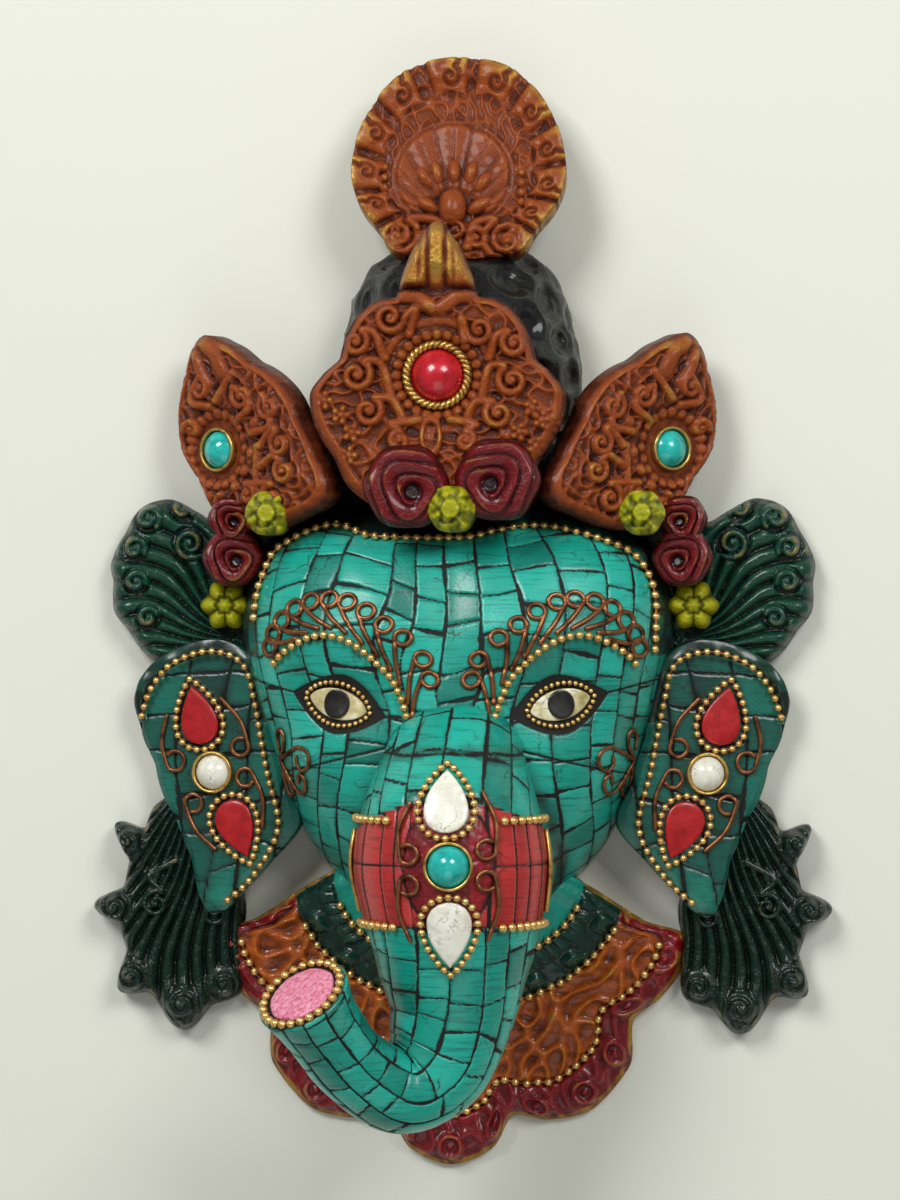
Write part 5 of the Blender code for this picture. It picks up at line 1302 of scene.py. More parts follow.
def add_trunk():
    """The trunk: an ellipse carried along its axis. u runs round it and v along it. Chips cover it, the
    coral band crosses it, and where it meets the face it stays just under the face's skin."""
    rows, around = TRUNK_ROWS, 300
    axis, ups = trunk_frame(rows)
    turn = np.arange(around) * math.tau / around - math.pi / 2
    wide, tall = axis[:, 3:4], axis[:, 4:5]
    along = tangents(axis[:, :3])
    across = unit(np.cross(ups, along))
    ups = np.cross(along, across)
    run = np.concatenate([[0.0], np.cumsum(np.linalg.norm(np.diff(axis[:, :3], axis=0), axis=1))])[:, None]

    def surface(extra):
        return (axis[:, None, :3] + ((wide + extra) * np.cos(turn))[..., None] * across[:, None, :]
                + ((tall + extra) * np.sin(turn))[..., None] * ups[:, None, :])

    front = (turn[None] - math.pi / 2 + math.pi) % math.tau - math.pi
    base = surface(SKIN + 0 * turn[None])
    x, y = base[..., 0], base[..., 1]
    u = front * (9.0 + 0.62 * wide)
    v = run + 0 * u
    joint, tint, slant = chips(u, v, *TRUNK_CHIP, 51, 1.4)
    strip, shade, lean = chips(u * 25 / (9.0 + 0.62 * wide), v * 0 + 3.0, 6.4, 900.0, 57, 0.3)
    facing = (run > 18) & (run < 95)
    inside = (y < band_top(x)) & (y > BAND_FOOT) & facing
    oval = ((x - 1.8) / 13.0) ** 2 + ((y + 69.5) / 18.0) ** 2
    field = inside & (oval < 1)
    strip = np.minimum(strip, np.abs(y + 70.0))
    joint = np.where(inside, strip, joint)
    tint = np.where(inside, shade, tint)
    slant = np.where(inside, lean, slant)
    joint = np.where(field, 9.0, joint)
    edge = np.where(facing, np.minimum(np.abs(y - band_top(x)), np.abs(y - BAND_FOOT)), 9)
    rim = np.abs(np.sqrt(oval) - 1) * 13.0
    joint = np.minimum(joint, np.minimum(edge, np.where(inside, rim, 9)))
    zone = np.where(field, 2.0, np.where(inside, 1.0, 0.0))
    grain = np.where(field, 0.25 * speckle(x, y, 2.0, 77), 0.0)
    # Painted shade with dark resin: darker in the gap between the curl and the trunk
    crease = bump(x, y, -17, -112, 7, 14) * (base[..., 2] < 76)
    # Painted shade: a band darkened along the crease where the trunk rises from the forehead
    root = bump(y, 0, ROOT_SEAM, 0, 3.2, 1) * (base[..., 2] < 70)
    seam = np.maximum(np.abs(y - ROOT_SEAM + 0.6 * speckle(x, y, 9, 12)) - 0.1, 0)
    joint = np.where(facing | (run < 30), np.minimum(joint, seam), joint)
    # Painted shade: the side of the trunk that faces back toward the face is darker
    low = 0.25 * np.clip(-np.sin(turn)[None] + 0.2, 0, 1)
    # Also darker in a strip across the trunk at the top of the coral band
    grime = 0.55 * crease + 0.5 * root + low + 0.25 * bump(x, y, 1, -52, 20, 5)
    points = surface(SKIN + chip_rise(joint, slant) + grain)
    local_x, local_y = points[..., 0] - FACE_AT[0], points[..., 1] - FACE_AT[1]
    angle = np.degrees(np.arctan2(local_y, local_x))
    share = np.hypot(local_x, local_y) / FACE.outline(angle)
    floor = np.where(share < 0.985, face_front(share, local_x, local_y, angle) - 1.2, -99)
    points[..., 2] = np.maximum(points[..., 2], floor)
    start, end = axis[:1, :3].copy(), axis[-1:, :3] + 0.3 * along[-1:]
    start[0, 2] = FACE_DOME[0]
    cap = axis[-1, :3] + 0.3 * along[-1] + 0.9 * (points[-1] - axis[-1, :3])
    faces = [part[:, ::-1] for part in shell_faces(rows + 1, around)]
    values = {"joint": joint, "tint": tint, "grime": grime, "zone": zone}
    # The cap round the tip disc is fully darkened
    fields = {key: np.concatenate([item[0, :1], np.broadcast_to(item, u.shape).ravel(),
                                   item[-1] * 0 + (key == "grime"),
                                   [1.0 * (key == "grime")]]) for key, item in values.items()}
    skin = add_mesh("trunk_skin", np.vstack([start, points.reshape(-1, 3), cap, end]), faces,
                    [finish("turquoise and coral chip mosaic")], True, fields)
    return settle(skin, "cast_brass")


def add_skin(plate, name, look, rings, sectors, relief, mirror=False, crowd=1.0, outward=False):
    skin = plate.build(name, finish(look), rings, sectors, relief, mirror, crowd, outward=outward)
    return settle(skin, "cast_brass")


def add_face():
    add_skin(FACE, "face_skin", "turquoise and coral chip mosaic", 132, 640, face_relief, crowd=1.35)


def both_sides(plates, name, look, rings, sectors, relief, crowd=1.0):
    for side, plate in zip(("right", "left"), plates):
        add_skin(plate, f"{side}_{name}", look, rings, sectors, relief, side == "left", crowd)


def add_crown():
    rust = "rust enamel on cast brass"
    add_skin(DISC, "crest_disc_skin", rust, 96, 460, disc_relief, crowd=1.2)
    add_skin(FRONT_LEAF, "front_leaf_skin", rust, 96, 460, front_leaf_relief, crowd=1.1)
    both_sides((RIGHT_LEAF, LEFT_LEAF), "leaf_skin", rust, 80, 360, side_leaf_relief, 1.1)
    x, y, radius, top = CROWN_BAND
    for side, place in (("right", (x + CROWN_SHIFT, y, 0)), ("left", (x - CROWN_SHIFT, y, 0))):
        plate = Plate(lambda angle: radius + 0 * angle, lambda share, x, y, angle: top - 6 * share**2,
                      place, 0.0)
        add_skin(plate, side + "_crown_band_skin", "black hair enamel on cast brass", 24, 96, band_relief,
                 side == "left")


def add_hair():
    add_skin(BUN, "hair_skin", "black hair enamel on cast brass", 120, 420, hair_relief, crowd=1.9,
             outward=True)


def add_flowers():
    groups = (("flower", RED_FLOWERS, "crimson flower enamel on cast brass"),
              ("bud", BUDS, "lime bud enamel on cast brass"),
              ("daisy", DAISIES, "lime bud enamel on cast brass"))
    for kind, items, look in groups:
        for number, (x, y, foot, top, radius) in enumerate(items, 1):
            wave = 0.10 if kind == "daisy" else 0.03
            plate = Plate(lambda angle, r=radius, w=wave: r * (1 + w * np.cos(np.radians(angle) * 6)),
                          flower_front(top - foot, kind), (x, y, foot), 0.0)
            add_skin(plate, f"{kind}_{number}_skin", look, 40, 132, flower_look(kind, x))


def add_sides():
    both_sides((FANS, FANS), "fan_skin", "green foliage enamel on cast brass", 80, 360, fan_relief)
    both_sides((LOWER, LOWER), "foliage_skin", "green foliage enamel on cast brass", 80, 420, foliage_relief)
    both_sides((EARS, EARS), "ear_skin", "varnished turquoise chip mosaic", 84, 400, ear_relief, 1.2)


def add_collar():
    add_skin(COLLAR, "collar_skin", "collar enamels on cast brass", 120, 600, collar_relief, crowd=1.2)


# Applied pieces

def ellipse(width, length, count):
    turn = math.pi / 2 + np.arange(count) * math.tau / count
    return np.column_stack([width / 2 * np.cos(turn), length / 2 * np.sin(turn)])


def teardrop(width, length, count):
    """A drop with its tip up: across = -sin(t) sin(t/2), along = cos(t)."""
    turn = np.arange(count) * math.tau / count
    return np.column_stack([-width / 2 * np.sin(turn) * np.sin(turn / 2) / 0.77, length / 2 * np.cos(turn)])


def almond(length, height, count):
    """An eye's outline: two arcs, sin(t) |sin(t)|^0.4, that meet at the corners."""
    turn = np.arange(count) * math.tau / count
    return np.column_stack([length / 2 * np.cos(turn),
                            height / 2 * np.sin(turn) * np.abs(np.sin(turn)) ** 0.4])


def offset(shape, distance):
    along = np.roll(shape, -1, axis=0) - np.roll(shape, 1, axis=0)
    out = np.column_stack([along[:, 1], -along[:, 0]])
    return shape + distance * out / np.linalg.norm(out, axis=1)[:, None]


def in_frame(basis, rows):
    place, across, along, out = basis
    rows = np.asarray(rows, float)
    return place + rows[:, :1] * across + rows[:, 1:2] * along + rows[:, 2:3] * out


def rim_lifts(seat, basis, shape):
    return np.array([seat.lift(basis, a, b) for a, b in shape])


def add_stone(name, seat, basis, shape, rise, edge, look, slot, nodes, power=2.0, sink=0.8, base=0.0):
    """A cut stone: height = edge + rise * (1 - share^power) over a seat that follows the metal, with a
    rounded girdle."""
    count = len(shape)
    middle = seat.lift(basis, 0, 0) + base
    outer = rim_lifts(seat, basis, shape) + base
    rows, rings = [[0, 0, middle + edge + rise]], 0
    for share in (0.12, 0.25, 0.4, 0.55, 0.68, 0.8, 0.9, 0.965, 1.0):
        drop = 0.3 * edge * step(share, 0.93, 1.02)
        lift = middle + (outer - middle) * share**2 + edge - drop + rise * (1 - share**power)
        rows.append(np.column_stack([shape * share, lift]))
        rings += 1
    rows.append(np.column_stack([shape * 1.006, outer - sink + 0.45 * (edge + sink)]))
    rows.append(np.column_stack([shape * 0.97, outer - sink]))
    rows.append([[0, 0, middle - sink]])
    made = add_mesh(name, in_frame(basis, np.vstack(rows)), shell_faces(rings + 2, count), [finish(look)])
    return settle(made, slot, *nodes)


def add_bezel(name, seat, basis, shape, look, nodes, wall=0.9, height=2.2):
    """A strip of metal bent round a stone: a section with a rounded lip, carried round the outline."""
    lifts = rim_lifts(seat, basis, offset(shape, wall))
    section = ((0.15, -0.6), (0.15, height - 0.35), (0.30, height - 0.08), (0.15 + wall / 2, height),
               (wall, height - 0.1), (wall + 0.12, height - 0.45), (wall + 0.12, -0.6))
    rows = np.vstack([np.column_stack([offset(shape, off), lifts + up]) for off, up in section])
    count = len(shape)
    i = np.arange(count)
    j = (i + 1) % count
    ring = np.arange(len(section))[:, None] * count
    following = (np.arange(len(section))[:, None] + 1) % len(section) * count
    faces = np.stack([ring + j, ring + i, following + i, following + j], axis=-1).reshape(-1, 4)
    return settle(add_mesh(name, in_frame(basis, rows), [faces], [finish(look)]), "bezel_brass", *nodes)


def add_cabochon(name, seat, basis, width, look, slot, rope=False):
    """A domed stone in its bezel, or in a rope of two wires twisted round the ring."""
    shape = ellipse(width, width, 40)
    add_stone(name + "_gem", seat, basis, shape, 0.30 * width, 1.0, look, slot, (name + "_stone",), 2.2)
    if not rope:
        add_bezel(name + "_strip", seat, basis, shape, "brass bezel strip", (name + "_bezel",))
        return
    turn = np.arange(300) * math.tau / 300
    strands = []
    for phase in (0.0, math.pi):
        twist = 17 * turn + phase
        reach_out = width / 2 + 1.35 + 0.62 * np.cos(twist)
        flat = np.column_stack([reach_out * np.cos(turn), reach_out * np.sin(turn),
                                1.35 + 0.62 * np.sin(twist)])
        ups = np.tile(basis[3], (300, 1))
        strands.append(tube(in_frame(basis, flat), ups, 0.66, 7, True))
    points, faces, _ = gather(strands)
    settle(add_mesh(name + "_rope", points, faces, [finish("brass bezel strip")]), "bezel_brass",
           name + "_bezel")


def add_beads(name, places, ups, diameter, nodes, closed=False, link=True, slot="bead_brass"):
    """Brass balls at places, with the thin wire that links them."""
    places = np.asarray(places, float)
    pieces = [balls(places, diameter / 2)]
    if link:
        pieces.append(tube(places, ups, 0.17 * diameter, 5, closed))
    points, faces, number = gather(pieces)
    made = add_mesh(name, points, faces, [finish("brass ball chain"), finish("tarnished copper wire")],
                    index=number)
    return settle(made, slot, *nodes)


def add_wires(name, wires, nodes, radius=0.66, look="tarnished copper wire", slot="copper_wire"):
    points, faces, _ = gather([tube(path, ups, radius, 8) for path, ups in wires])
    return settle(add_mesh(name, points, faces, [finish(look)]), slot, *nodes)


def scroll(start, centre, radius, spin):
    """A wire's path: an arm that bends into a loop round a centre, turning with spin."""
    start, centre = np.array(start), np.array(centre)
    toward = centre - start
    away = math.degrees(math.atan2(-toward[1], -toward[0])) + spin * 78.0
    turn = np.radians(away + spin * np.array([0, 60, 120, 180, 235, 285, 320]))
    loop = centre + radius * np.column_stack([np.cos(turn), np.sin(turn)])
    side = loop[0] - start
    middle = start + 0.55 * side + spin * 0.10 * np.array([side[1], -side[0]])
    return np.vstack([start, middle, loop])


def add_scroll(name, seat, basis, knots, node):
    rows = flat_curve(knots, 64)
    path = seat.over(basis, rows, 0.6)
    add_wires(name, [(path, np.tile(basis[3], (len(path), 1)))], (node,))


def add_tear(name, seat, basis, width, length, look, slot):
    """A flat drop of stone with a ring of balls round it."""
    add_stone(name + "_drop", seat, basis, teardrop(width, length, 44), 0.25, 1.2, look, slot,
              (name + "_tear",))
    ring = offset(teardrop(width, length, 60), 1.75)
    ring[0] = (0.0, length / 2 + 2.2)
    rows = even(ring, 2.55, True)
    add_beads(name + "_balls", seat.over(basis, rows, 0.85), np.tile(basis[3], (len(rows), 1)), 2.15,
              (name + "_tear_beads",), True)


def seat_on(*names):
    """A seat on skins, and on the bare metal where a skin ends."""
    return Seat(*(bpy.data.objects[name] for name in (*names, "bare_casting")))


def add_crown_stones():
    seat = seat_on("front_leaf_skin")
    add_cabochon("crown", seat, seat.frame(*FRONT_LEAF_AT[:2]), 15.0, "red coral cabochon", "coral_stone",
                 True)
    a, b = LEAF_STONE_AT
    for side, sign in (("left", -1), ("right", 1)):
        seat = seat_on(side + "_leaf_skin")
        x = sign * (SIDE_LEAF_AT[0] + a * math.cos(math.radians(SIDE_LEAF_TURN))) + CROWN_SHIFT
        add_cabochon(side + "_leaf", seat, seat.frame(x, SIDE_LEAF_AT[1] + b), 11.0, "turquoise cabochon",
                     "turquoise_stone")


def add_ear_jewels():
    for side, sign in (("left", -1), ("right", 1)):
        ear = side + "_ear"
        seat = seat_on(ear + "_skin", side + "_foliage_skin")
        basis = seat.frame(sign * (EAR_AT[0] + EAR_STONE_AT[0]), EAR_AT[1] + EAR_STONE_AT[1])
        add_cabochon(ear, seat, basis, 10.5, "howlite", "white_stone")
        for which, a, b, turn in EAR_TEARS:
            place = turned(moved(seat, basis, sign * a, b), sign * turn)
            add_tear(f"{ear}_{which}", seat, place, 11.5, 17.5, "flat coral drop", "coral_stone")
        for which, start, centre, radius, spin in EAR_SCROLLS:
            knots = scroll(start, centre, radius, spin) * (sign, 1)
            add_scroll(f"{ear}_{which}_curl", seat, basis, knots, f"{ear}_{which}_scroll")
        rows = even(np.array(EAR_CHAIN) * (sign, 1), 2.95)
        add_beads(ear + "_chain", seat.over(basis, rows, 0.85), np.tile(basis[3], (len(rows), 1)), 2.2,
                  (ear + "_bead_chain",))


def on_trunk(y, degrees, clear):
    """A point over the trunk at a height of the mask, degrees round from its right side."""
    rows, ups = trunk_frame(60)
    forward = rows[:45]
    c, s = math.cos(math.radians(degrees)), math.sin(math.radians(degrees))
    spread = np.zeros(3)
    for _ in range(5):
        at = np.interp(-(y - spread[1]), -forward[:, 1], np.arange(45))
        x, _, z, wide, tall = (np.interp(at, range(60), rows[:, k]) for k in range(5))
        up = np.array([np.interp(at, range(60), ups[:, k]) for k in range(3)])
        spread = np.array([wide * c, 0.0, 0.0]) + tall * s * up
    out = unit(spread / np.array([wide, tall, tall]))
    return np.array([x, y - spread[1], z]) + spread + (clear + SKIN) * out, out


def add_trunk_jewels():
    seat = seat_on("trunk_skin")
    basis = seat.frame(*TRUNK_STONE_AT)
    add_cabochon("trunk", seat, basis, 11.8, "turquoise cabochon", "turquoise_stone")
    for which, x, y, turn in TRUNK_TEARS:
        add_tear("trunk_" + which, seat, turned(seat.frame(x, y), turn), 12.5, 19.0, "howlite", "white_stone")
    for which, start, centre, radius, spin in TRUNK_SCROLLS:
        knots = scroll(start, centre, radius, spin)
        add_scroll(f"trunk_{which}_curl", seat, basis, knots, f"trunk_{which}_scroll")
    for name, (low, high), y in (("upper", (53, 6), -57.5), ("lower", (55, 8), -87.0)):
        for side in ("right", "left"):
            turns = np.linspace(low, high, 8)
            turns = 180 - turns if side == "left" else turns
            places, ups = zip(*(on_trunk(y, degrees, 1.0) for degrees in turns))
            add_beads(f"trunk_{name}_{side}_balls", places, np.array(ups), 2.6,
                      (f"trunk_{name}_{side}_band_beads",))
    for side, degrees in (("right", 4), ("left", 176)):
        places, ups = zip(*(on_trunk(y, degrees, 0.5) for y in np.linspace(-60.5, -84.0, 24)))
        wide = 0.5 + 2.3 * np.sin(np.linspace(0, math.pi, 24))
        rings = tube_rings(np.array(places), np.array(ups), wide, 0.7, 12)
        faces = [part[:, ::-1] for part in shell_faces(24, 12)]
        points = np.vstack([places[:1], rings.reshape(-1, 3), places[-1:]])
        settle(add_mesh(f"trunk_{side}_crescent", points, faces, [finish("brass bezel strip")]),
               "bezel_brass",
               f"trunk_{side}_band_plate")
    add_trunk_tip()


def add_trunk_tip():
    """The cut end of the trunk: a disc of granular pink stone in a ring of balls."""
    rows, ups = trunk_frame(TRUNK_ROWS)
    along = tangents(rows[:, :3])[-1]
    up = ups[-1]
    place = rows[-1, :3] + 0.3 * along
    basis = (place, np.cross(up, along), up, along)
    shape = ellipse(19.6, 19.6, 48) * (1 + 0.012 * np.cos(np.arange(48)))[:, None]
    points = [[0, 0, 1.5]]
    for share, height in ((0.3, 1.45), (0.6, 1.35), (0.85, 1.2), (0.96, 1.0), (1.0, 0.6), (1.0, 0.0),
                          (0.96, -0.6)):
        points.append(np.column_stack([shape * share, np.full(48, height) + 0.12 * speckle(
            shape[:, 0] * share, shape[:, 1] * share, 3, 5)]))
    points = np.vstack(points + [[[0, 0, -0.6]]])
    settle(add_mesh("trunk_tip_disc", in_frame(basis, points), shell_faces(7, 48),
                    [finish("pink rhodonite")]),
           "pink_stone", "trunk_tip_stone")
    ring = ellipse(*(2 * (rows[-1, 3:5] - 1.2)), 26)
    places = in_frame(basis, np.column_stack([ring, np.full(26, 0.75)]))
    add_beads("trunk_tip_balls", places, np.tile(along, (26, 1)), 2.6, ("trunk_tip_beads",), True)


def add_eyes():
    seat = seat_on("face_skin")
    for side, sign in (("left", -1), ("right", 1)):
        x, y = EYE_AT
        basis = turned(seat.frame(sign * x - 1.0, y, 4.0), sign * EYE_TURN)
        add_stone(side + "_eye", seat, basis, almond(*EYE_SIZE, 48), 0.9, 0.7, "aged bone", "white_stone",
                  (side + "_eye_white",))
        add_stone(side + "_eye_pupil", seat, basis, ellipse(8.0, 8.4, 32), 0.5, 0.6, "dark horn",
                  "black_stone",
                  (side + "_pupil",), base=1.25)
        rows = even(almond(EYE_SIZE[0] + 2.6, EYE_SIZE[1] + 3.4, 96), 1.75, True)
        places = seat.over(basis, rows, 0.45)
        settle(add_mesh(side + "_eye_balls", *balls(places, 0.74), [finish("brass ball chain")]),
               "bead_brass")


# Four loops of wire from one root beside the ear: left-up, left-down, up and down
CHEEK_CURLS = (((51.6, -42.6), (48.6, -40.4), (45.2, -38.6), (42.2, -40.0), (41.8, -43.4),
                (43.8, -45.5), (45.6, -43.8), (45.8, -41.4)),
               ((51.4, -43.2), (49.4, -46.8), (46.6, -51.0), (44.4, -52.2), (43.1, -50.2),
                (43.6, -47.4), (45.0, -46.6), (45.5, -48.8)),
               ((51.6, -42.2), (50.2, -38.8), (50.0, -35.6), (51.2, -33.6), (52.3, -35.4),
                (51.9, -39.4)),
               ((51.2, -43.6), (50.8, -47.6), (49.6, -52.6), (48.4, -53.4), (47.9, -51.0),
                (49.8, -46.8)))


# The rings of the twelve wires over the right brow, and their feet beside its chain, from the nose out
BROW_RINGS = ((5.9, -18.7), (8.0, -12.9), (13.8, -6.7), (19.4, -3.0), (24.6, 0.8), (30.2, 3.5),
              (35.4, 4.2), (41.0, 3.6), (45.8, 1.6), (49.6, -1.8), (52.2, -5.6), (53.4, -9.6))
BROW_FEET = ((11.1, -29.9), (12.2, -25.3), (14.6, -19.8), (17.4, -15.6), (21.1, -11.7), (25.6, -8.0),
             (30.4, -5.2), (34.8, -3.9), (38.7, -4.0), (42.0, -5.2), (45.2, -7.0), (48.2, -10.0))


def brow_loops(sign):
    """Twelve wires over a brow. Each rises from its foot on the side away from the nose, and curls over
    its top toward the nose into a ring."""
    wires = []
    for ring, foot in zip(np.array(BROW_RINGS), np.array(BROW_FEET)):
        up = unit(ring - foot)
        nose = np.array([-up[1], up[0]])
        turn = np.radians(np.array([200, 165, 125, 80, 30, -20, -75, -130, -165]))
        curl = ring + 2.5 * np.cos(turn)[:, None] * nose + 2.1 * np.sin(turn)[:, None] * up
        middle = 0.45 * foot + 0.55 * curl[0] - 0.5 * nose
        rows = np.vstack([foot, middle, curl]) * (sign, 1)
        wires.append(flat_curve(rows, 48))
    return wires


def add_brows():
    seat = seat_on("face_skin")
    for side, sign in (("left", -1), ("right", 1)):
        brow = np.array(BROW) * (sign, 1)
        places, ups = seat.drape(even(brow, 2.5), 1.0)
        add_beads(side + "_brow_balls", places, ups, 2.45, (side + "_brow_beads",), link=False)
        wires = [seat.drape(rows, 0.5, spread=2.2) for rows in brow_loops(sign)]
        add_wires(side + "_brow_feather", wires, (side + "_brow_wire",), 0.76)
        curls = [seat.drape(flat_curve(np.array(knots) * (sign, 1), 44), 0.5, spread=1.0)
                 for knots in CHEEK_CURLS]
        add_wires(side + "_cheek_curls", curls, (), 0.6)


def add_forehead_chain():
    seat = seat_on("face_skin")
    places, ups = seat.drape(even(FOREHEAD, 3.1), 1.05)
    add_beads("forehead_chain", places, ups, 2.55, ("forehead_beads",))


def add_collar_chains():
    seat = seat_on("collar_skin")
    x, y = NECK_AT
    lines = []
    for name, wide, tall, first, last in (("inner", 37, 26, 199, 341), ("middle", 50, 39, 203, 337)):
        turn = np.radians(np.linspace(first, last, 40))
        lines.append((name, np.column_stack([x + wide * np.cos(turn), y + tall * np.sin(turn)])))
    degrees = np.linspace(176, 364, 60)
    radius = half_reach(COLLAR_HALF, degrees, False) * hem_share(degrees)
    turn = np.radians(degrees)
    lines.append(("outer", np.column_stack([COLLAR_AT[0] + radius * np.cos(turn),
                                            COLLAR_AT[1] + radius * np.sin(turn)])))
    for name, knots in lines:
        places, ups = seat.drape(even(knots, 3.3), 0.95, 32.0)
        add_beads(f"collar_{name}_chain", places, ups, 2.5, (f"collar_{name}_beads",))


# Stage

def add_stage():
    """A pale card under the mask, two large soft lights high on both sides, and the camera."""
    settings = bpy.context.scene.mask_stage
    half = settings.floor_size * 500
    corners = np.array([(-half, -half, -0.2), (half, -half, -0.2), (half, half, -0.2), (-half, half, -0.2)])
    floor = add_mesh("backdrop", corners, [np.array([[0, 1, 2, 3]])], [finish("pale backdrop card")], False)
    target = Vector((-0.0036, 0.0042, 0.0))
    for name, place, size, watts in (("key_light", (-0.62, 0.85, 1.15), 0.55, 1.0),
                                     ("fill_light", (0.72, 0.75, 1.15), 0.55, 0.72),
                                     ("low_light", (0.05, -0.95, 1.0), 0.9, 0.14)):
        light = bpy.data.lights.new(name, "AREA")
        light.shape = "SQUARE"
        light.size = size
        light.energy = watts * settings.light_power
        lamp = bpy.data.objects.new(name, light)
        lamp.location = place
        lamp.rotation_euler = (Vector(place) - target).to_track_quat("Z", "Y").to_euler()
        bpy.context.scene.collection.objects.link(lamp)
    bpy.context.scene.view_settings.view_transform = "Standard"
    world = bpy.data.worlds.new("soft_room")
    world.use_nodes = True
    world.node_tree.nodes["Background"].inputs["Color"].default_value = (*settings.room_colour, 1.0)
    world.node_tree.nodes["Background"].inputs["Strength"].default_value = settings.room_strength
    bpy.context.scene.world = world
    lens = bpy.data.cameras.new("camera")
    lens.lens = 110.0
    lens.sensor_width = 36.0
    camera = bpy.data.objects.new("camera", lens)
    yaw = math.radians(4.0)
    camera.location = target + 1.1 * Vector((math.sin(yaw), 0.0, math.cos(yaw)))
    camera.rotation_euler = (0.0, yaw, 0.0)
    bpy.context.scene.collection.objects.link(camera)
    bpy.context.scene.camera = camera


# Panel settings

def length_setting(name, about, default):
    return bpy.props.FloatProperty(name=name, description=about, default=default, min=0.0, subtype="DISTANCE",
                                   unit="LENGTH")


def colour_setting(name, about, text):
    return bpy.props.FloatVectorProperty(name=name, description=about, default=linear(text, False),
                                         min=0.0, max=1.0,
                                         subtype="COLOR", size=3)


class MaskSizes(bpy.types.PropertyGroup):
    chip_width: length_setting("Chip width", "Width of a turquoise chip on the face", 0.0108)
    chip_length: length_setting("Chip length", "Length of a turquoise chip on the face", 0.0112)


class MaskColours(bpy.types.PropertyGroup):
    turquoise: colour_setting("Turquoise", "Middle shade of the turquoise chips", "#12A28F")
    coral: colour_setting("Coral", "Middle shade of the coral chips", "#B8302E")
    terracotta: colour_setting("Rust enamel", "Enamel of the crest and the crown leaves", "#8E4012")
    foliage: colour_setting("Foliage enamel", "Enamel of the side foliage", "#0A3D2D")
    gold: colour_setting("Worn brass", "Bare metal where the enamel is rubbed off", "#B08838")
    bead: colour_setting("Ball chain", "Brass of the ball chains", "#F0CB82")
    copper: colour_setting("Copper wire", "Copper of the bent wires", "#94603F")
    backdrop: colour_setting("Backdrop", "Card under the mask", "#E4E5DA")


class MaskStage(bpy.types.PropertyGroup):
    floor_size: length_setting("Card size", "Width of the square card", 4.0)
    light_power: bpy.props.FloatProperty(name="Light power", description="Power of the key light",
                                         default=14.5,
                                         min=0.0, unit="POWER")
    room_strength: bpy.props.FloatProperty(name="Room light",
                                           description="Strength of the even light of the room",
                                           default=0.26, min=0.0, subtype="FACTOR")
    room_colour: colour_setting("Room colour", "Colour of the even light of the room", "#F2F3EE")


class MASK_OT_casting(bpy.types.Operator):
    """Adds the bare metal of the back and the hollows."""

    bl_idname = "mask.casting"
    bl_label = "Bare casting"
    bl_options = {"REGISTER", "UNDO"}

    def execute(self, context):
        add_casting()
        return {"FINISHED"}


class MASK_OT_face(bpy.types.Operator):
    """Adds the face with its turquoise chips."""

    bl_idname = "mask.face"
    bl_label = "Mosaic face"
    bl_options = {"REGISTER", "UNDO"}

    def execute(self, context):
        add_face()
        return {"FINISHED"}


class MASK_OT_trunk(bpy.types.Operator):
    """Adds the trunk with its chips and its coral band."""

    bl_idname = "mask.trunk"
    bl_label = "Mosaic trunk"
    bl_options = {"REGISTER", "UNDO"}

    def execute(self, context):
        add_trunk()
        return {"FINISHED"}


class MASK_OT_hair(bpy.types.Operator):
    """Adds the black knot of curled hair."""

    bl_idname = "mask.hair"
    bl_label = "Hair"
    bl_options = {"REGISTER", "UNDO"}

    def execute(self, context):
        add_hair()
        return {"FINISHED"}


class MASK_OT_crown(bpy.types.Operator):
    """Adds the crest disc and the three leaves."""

    bl_idname = "mask.crown"
    bl_label = "Crown"
    bl_options = {"REGISTER", "UNDO"}

    def execute(self, context):
        add_crown()
        return {"FINISHED"}


class MASK_OT_flowers(bpy.types.Operator):
    """Adds the flowers and buds of the crown band."""

    bl_idname = "mask.flowers"
    bl_label = "Flowers"
    bl_options = {"REGISTER", "UNDO"}

    def execute(self, context):
        add_flowers()
        return {"FINISHED"}


class MASK_OT_sides(bpy.types.Operator):
    """Adds the ears, the fans over them and the foliage under them."""

    bl_idname = "mask.sides"
    bl_label = "Ears and foliage"
    bl_options = {"REGISTER", "UNDO"}

    def execute(self, context):
        add_sides()
        return {"FINISHED"}


class MASK_OT_collar(bpy.types.Operator):
    """Adds the collar with its four bands."""

    bl_idname = "mask.collar"
    bl_label = "Collar"
    bl_options = {"REGISTER", "UNDO"}

    def execute(self, context):
        add_collar()
        return {"FINISHED"}


class MASK_OT_crown_stones(bpy.types.Operator):
    """Adds the three cabochons of the crown."""

    bl_idname = "mask.crown_stones"
    bl_label = "Crown stones"
    bl_options = {"REGISTER", "UNDO"}

    def execute(self, context):
        add_crown_stones()
        return {"FINISHED"}


class MASK_OT_ear_jewels(bpy.types.Operator):
    """Adds the stones, wires and ball chains of the ears."""

    bl_idname = "mask.ear_jewels"
    bl_label = "Ear jewels"
    bl_options = {"REGISTER", "UNDO"}

    def execute(self, context):
        add_ear_jewels()
        return {"FINISHED"}


class MASK_OT_trunk_jewels(bpy.types.Operator):
    """Adds the stones, wires and balls of the trunk."""

    bl_idname = "mask.trunk_jewels"
    bl_label = "Trunk jewels"
    bl_options = {"REGISTER", "UNDO"}

    def execute(self, context):
        add_trunk_jewels()
        return {"FINISHED"}


class MASK_OT_eyes(bpy.types.Operator):
    """Adds the eyes and the small balls round them."""

    bl_idname = "mask.eyes"
    bl_label = "Eyes"
    bl_options = {"REGISTER", "UNDO"}

    def execute(self, context):
        add_eyes()
        return {"FINISHED"}


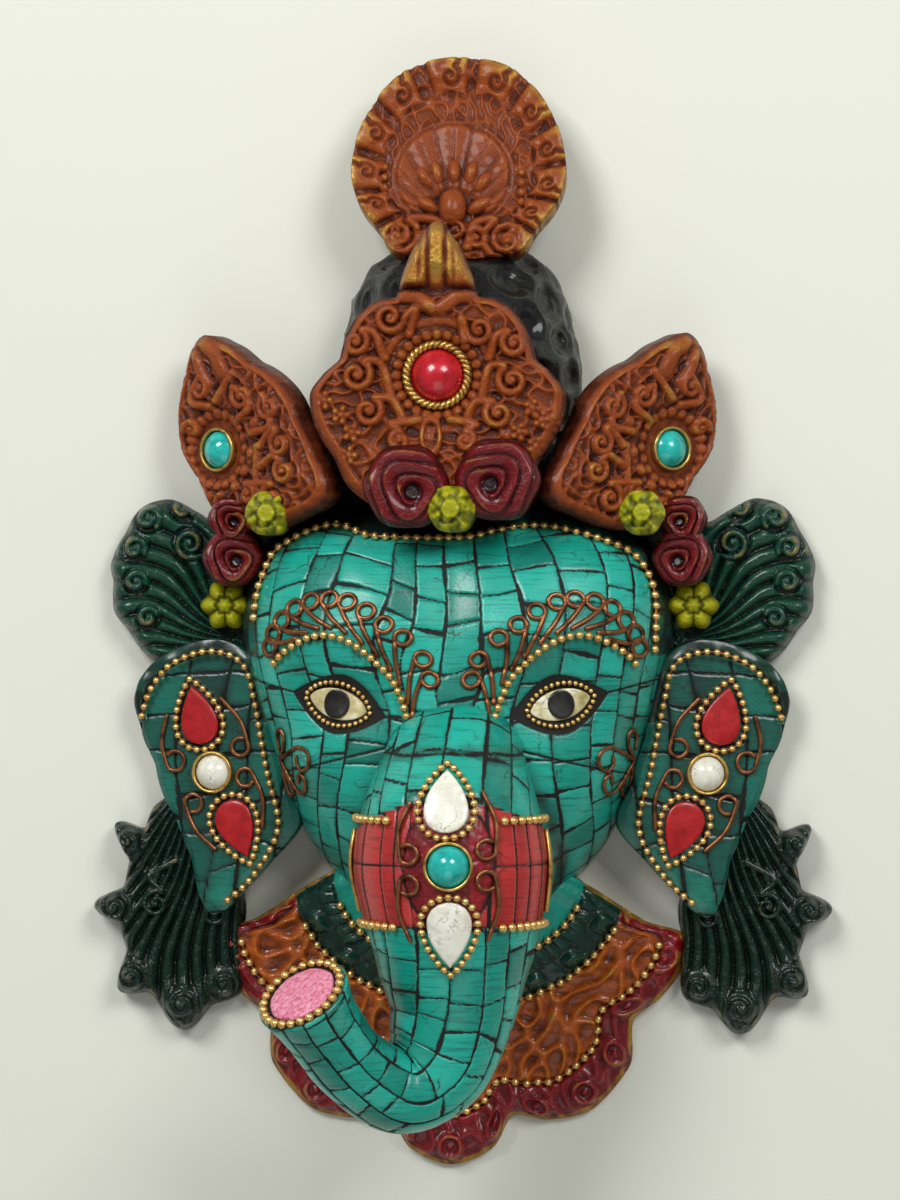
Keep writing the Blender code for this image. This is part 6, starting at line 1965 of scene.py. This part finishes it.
class MASK_OT_brows(bpy.types.Operator):
    """Adds the brow chains, the wire feathers and the cheek curls."""

    bl_idname = "mask.brows"
    bl_label = "Brows"
    bl_options = {"REGISTER", "UNDO"}

    def execute(self, context):
        add_brows()
        return {"FINISHED"}


class MASK_OT_chains(bpy.types.Operator):
    """Adds the chain over the forehead and the chains of the collar."""

    bl_idname = "mask.chains"
    bl_label = "Chains"
    bl_options = {"REGISTER", "UNDO"}

    def execute(self, context):
        add_forehead_chain()
        add_collar_chains()
        return {"FINISHED"}


class MASK_OT_stage(bpy.types.Operator):
    """Adds the card, the lights and the camera."""

    bl_idname = "mask.stage"
    bl_label = "Stage"
    bl_options = {"REGISTER", "UNDO"}

    def execute(self, context):
        add_stage()
        return {"FINISHED"}


OPERATORS = (
    MASK_OT_casting,
    MASK_OT_face,
    MASK_OT_trunk,
    MASK_OT_hair,
    MASK_OT_crown,
    MASK_OT_flowers,
    MASK_OT_sides,
    MASK_OT_collar,
    MASK_OT_crown_stones,
    MASK_OT_ear_jewels,
    MASK_OT_trunk_jewels,
    MASK_OT_eyes,
    MASK_OT_brows,
    MASK_OT_chains,
    MASK_OT_stage,
)


class MASK_PT_looks(bpy.types.Panel):
    """Sizes, colours and building steps of the mask."""

    bl_label = "Elephant mask"
    bl_idname = "MASK_PT_looks"
    bl_space_type = "VIEW_3D"
    bl_region_type = "UI"
    bl_category = "Mask"

    def draw(self, context):
        for group in (context.scene.mask_sizes, context.scene.mask_colours, context.scene.mask_stage):
            box = self.layout.box()
            for key in group.bl_rna.properties.keys():
                if key not in {"rna_type", "name"}:
                    box.prop(group, key)
        for operator in OPERATORS:
            self.layout.operator(operator.bl_idname)


GROUPS = (("mask_sizes", MaskSizes), ("mask_colours", MaskColours), ("mask_stage", MaskStage))


def register():
    for _, group in GROUPS:
        bpy.utils.register_class(group)
    for item in (*OPERATORS, MASK_PT_looks):
        bpy.utils.register_class(item)
    for key, group in GROUPS:
        setattr(bpy.types.Scene, key, bpy.props.PointerProperty(type=group))


def unregister():
    for key, _ in GROUPS:
        delattr(bpy.types.Scene, key)
    for item in (MASK_PT_looks, *reversed(OPERATORS)):
        bpy.utils.unregister_class(item)
    for _, group in GROUPS:
        bpy.utils.unregister_class(group)


def main():
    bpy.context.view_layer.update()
    register()
    for operator in OPERATORS:
        group, name = operator.bl_idname.split(".")
        getattr(getattr(bpy.ops, group), name)()


if __name__ == "__main__":
    main()
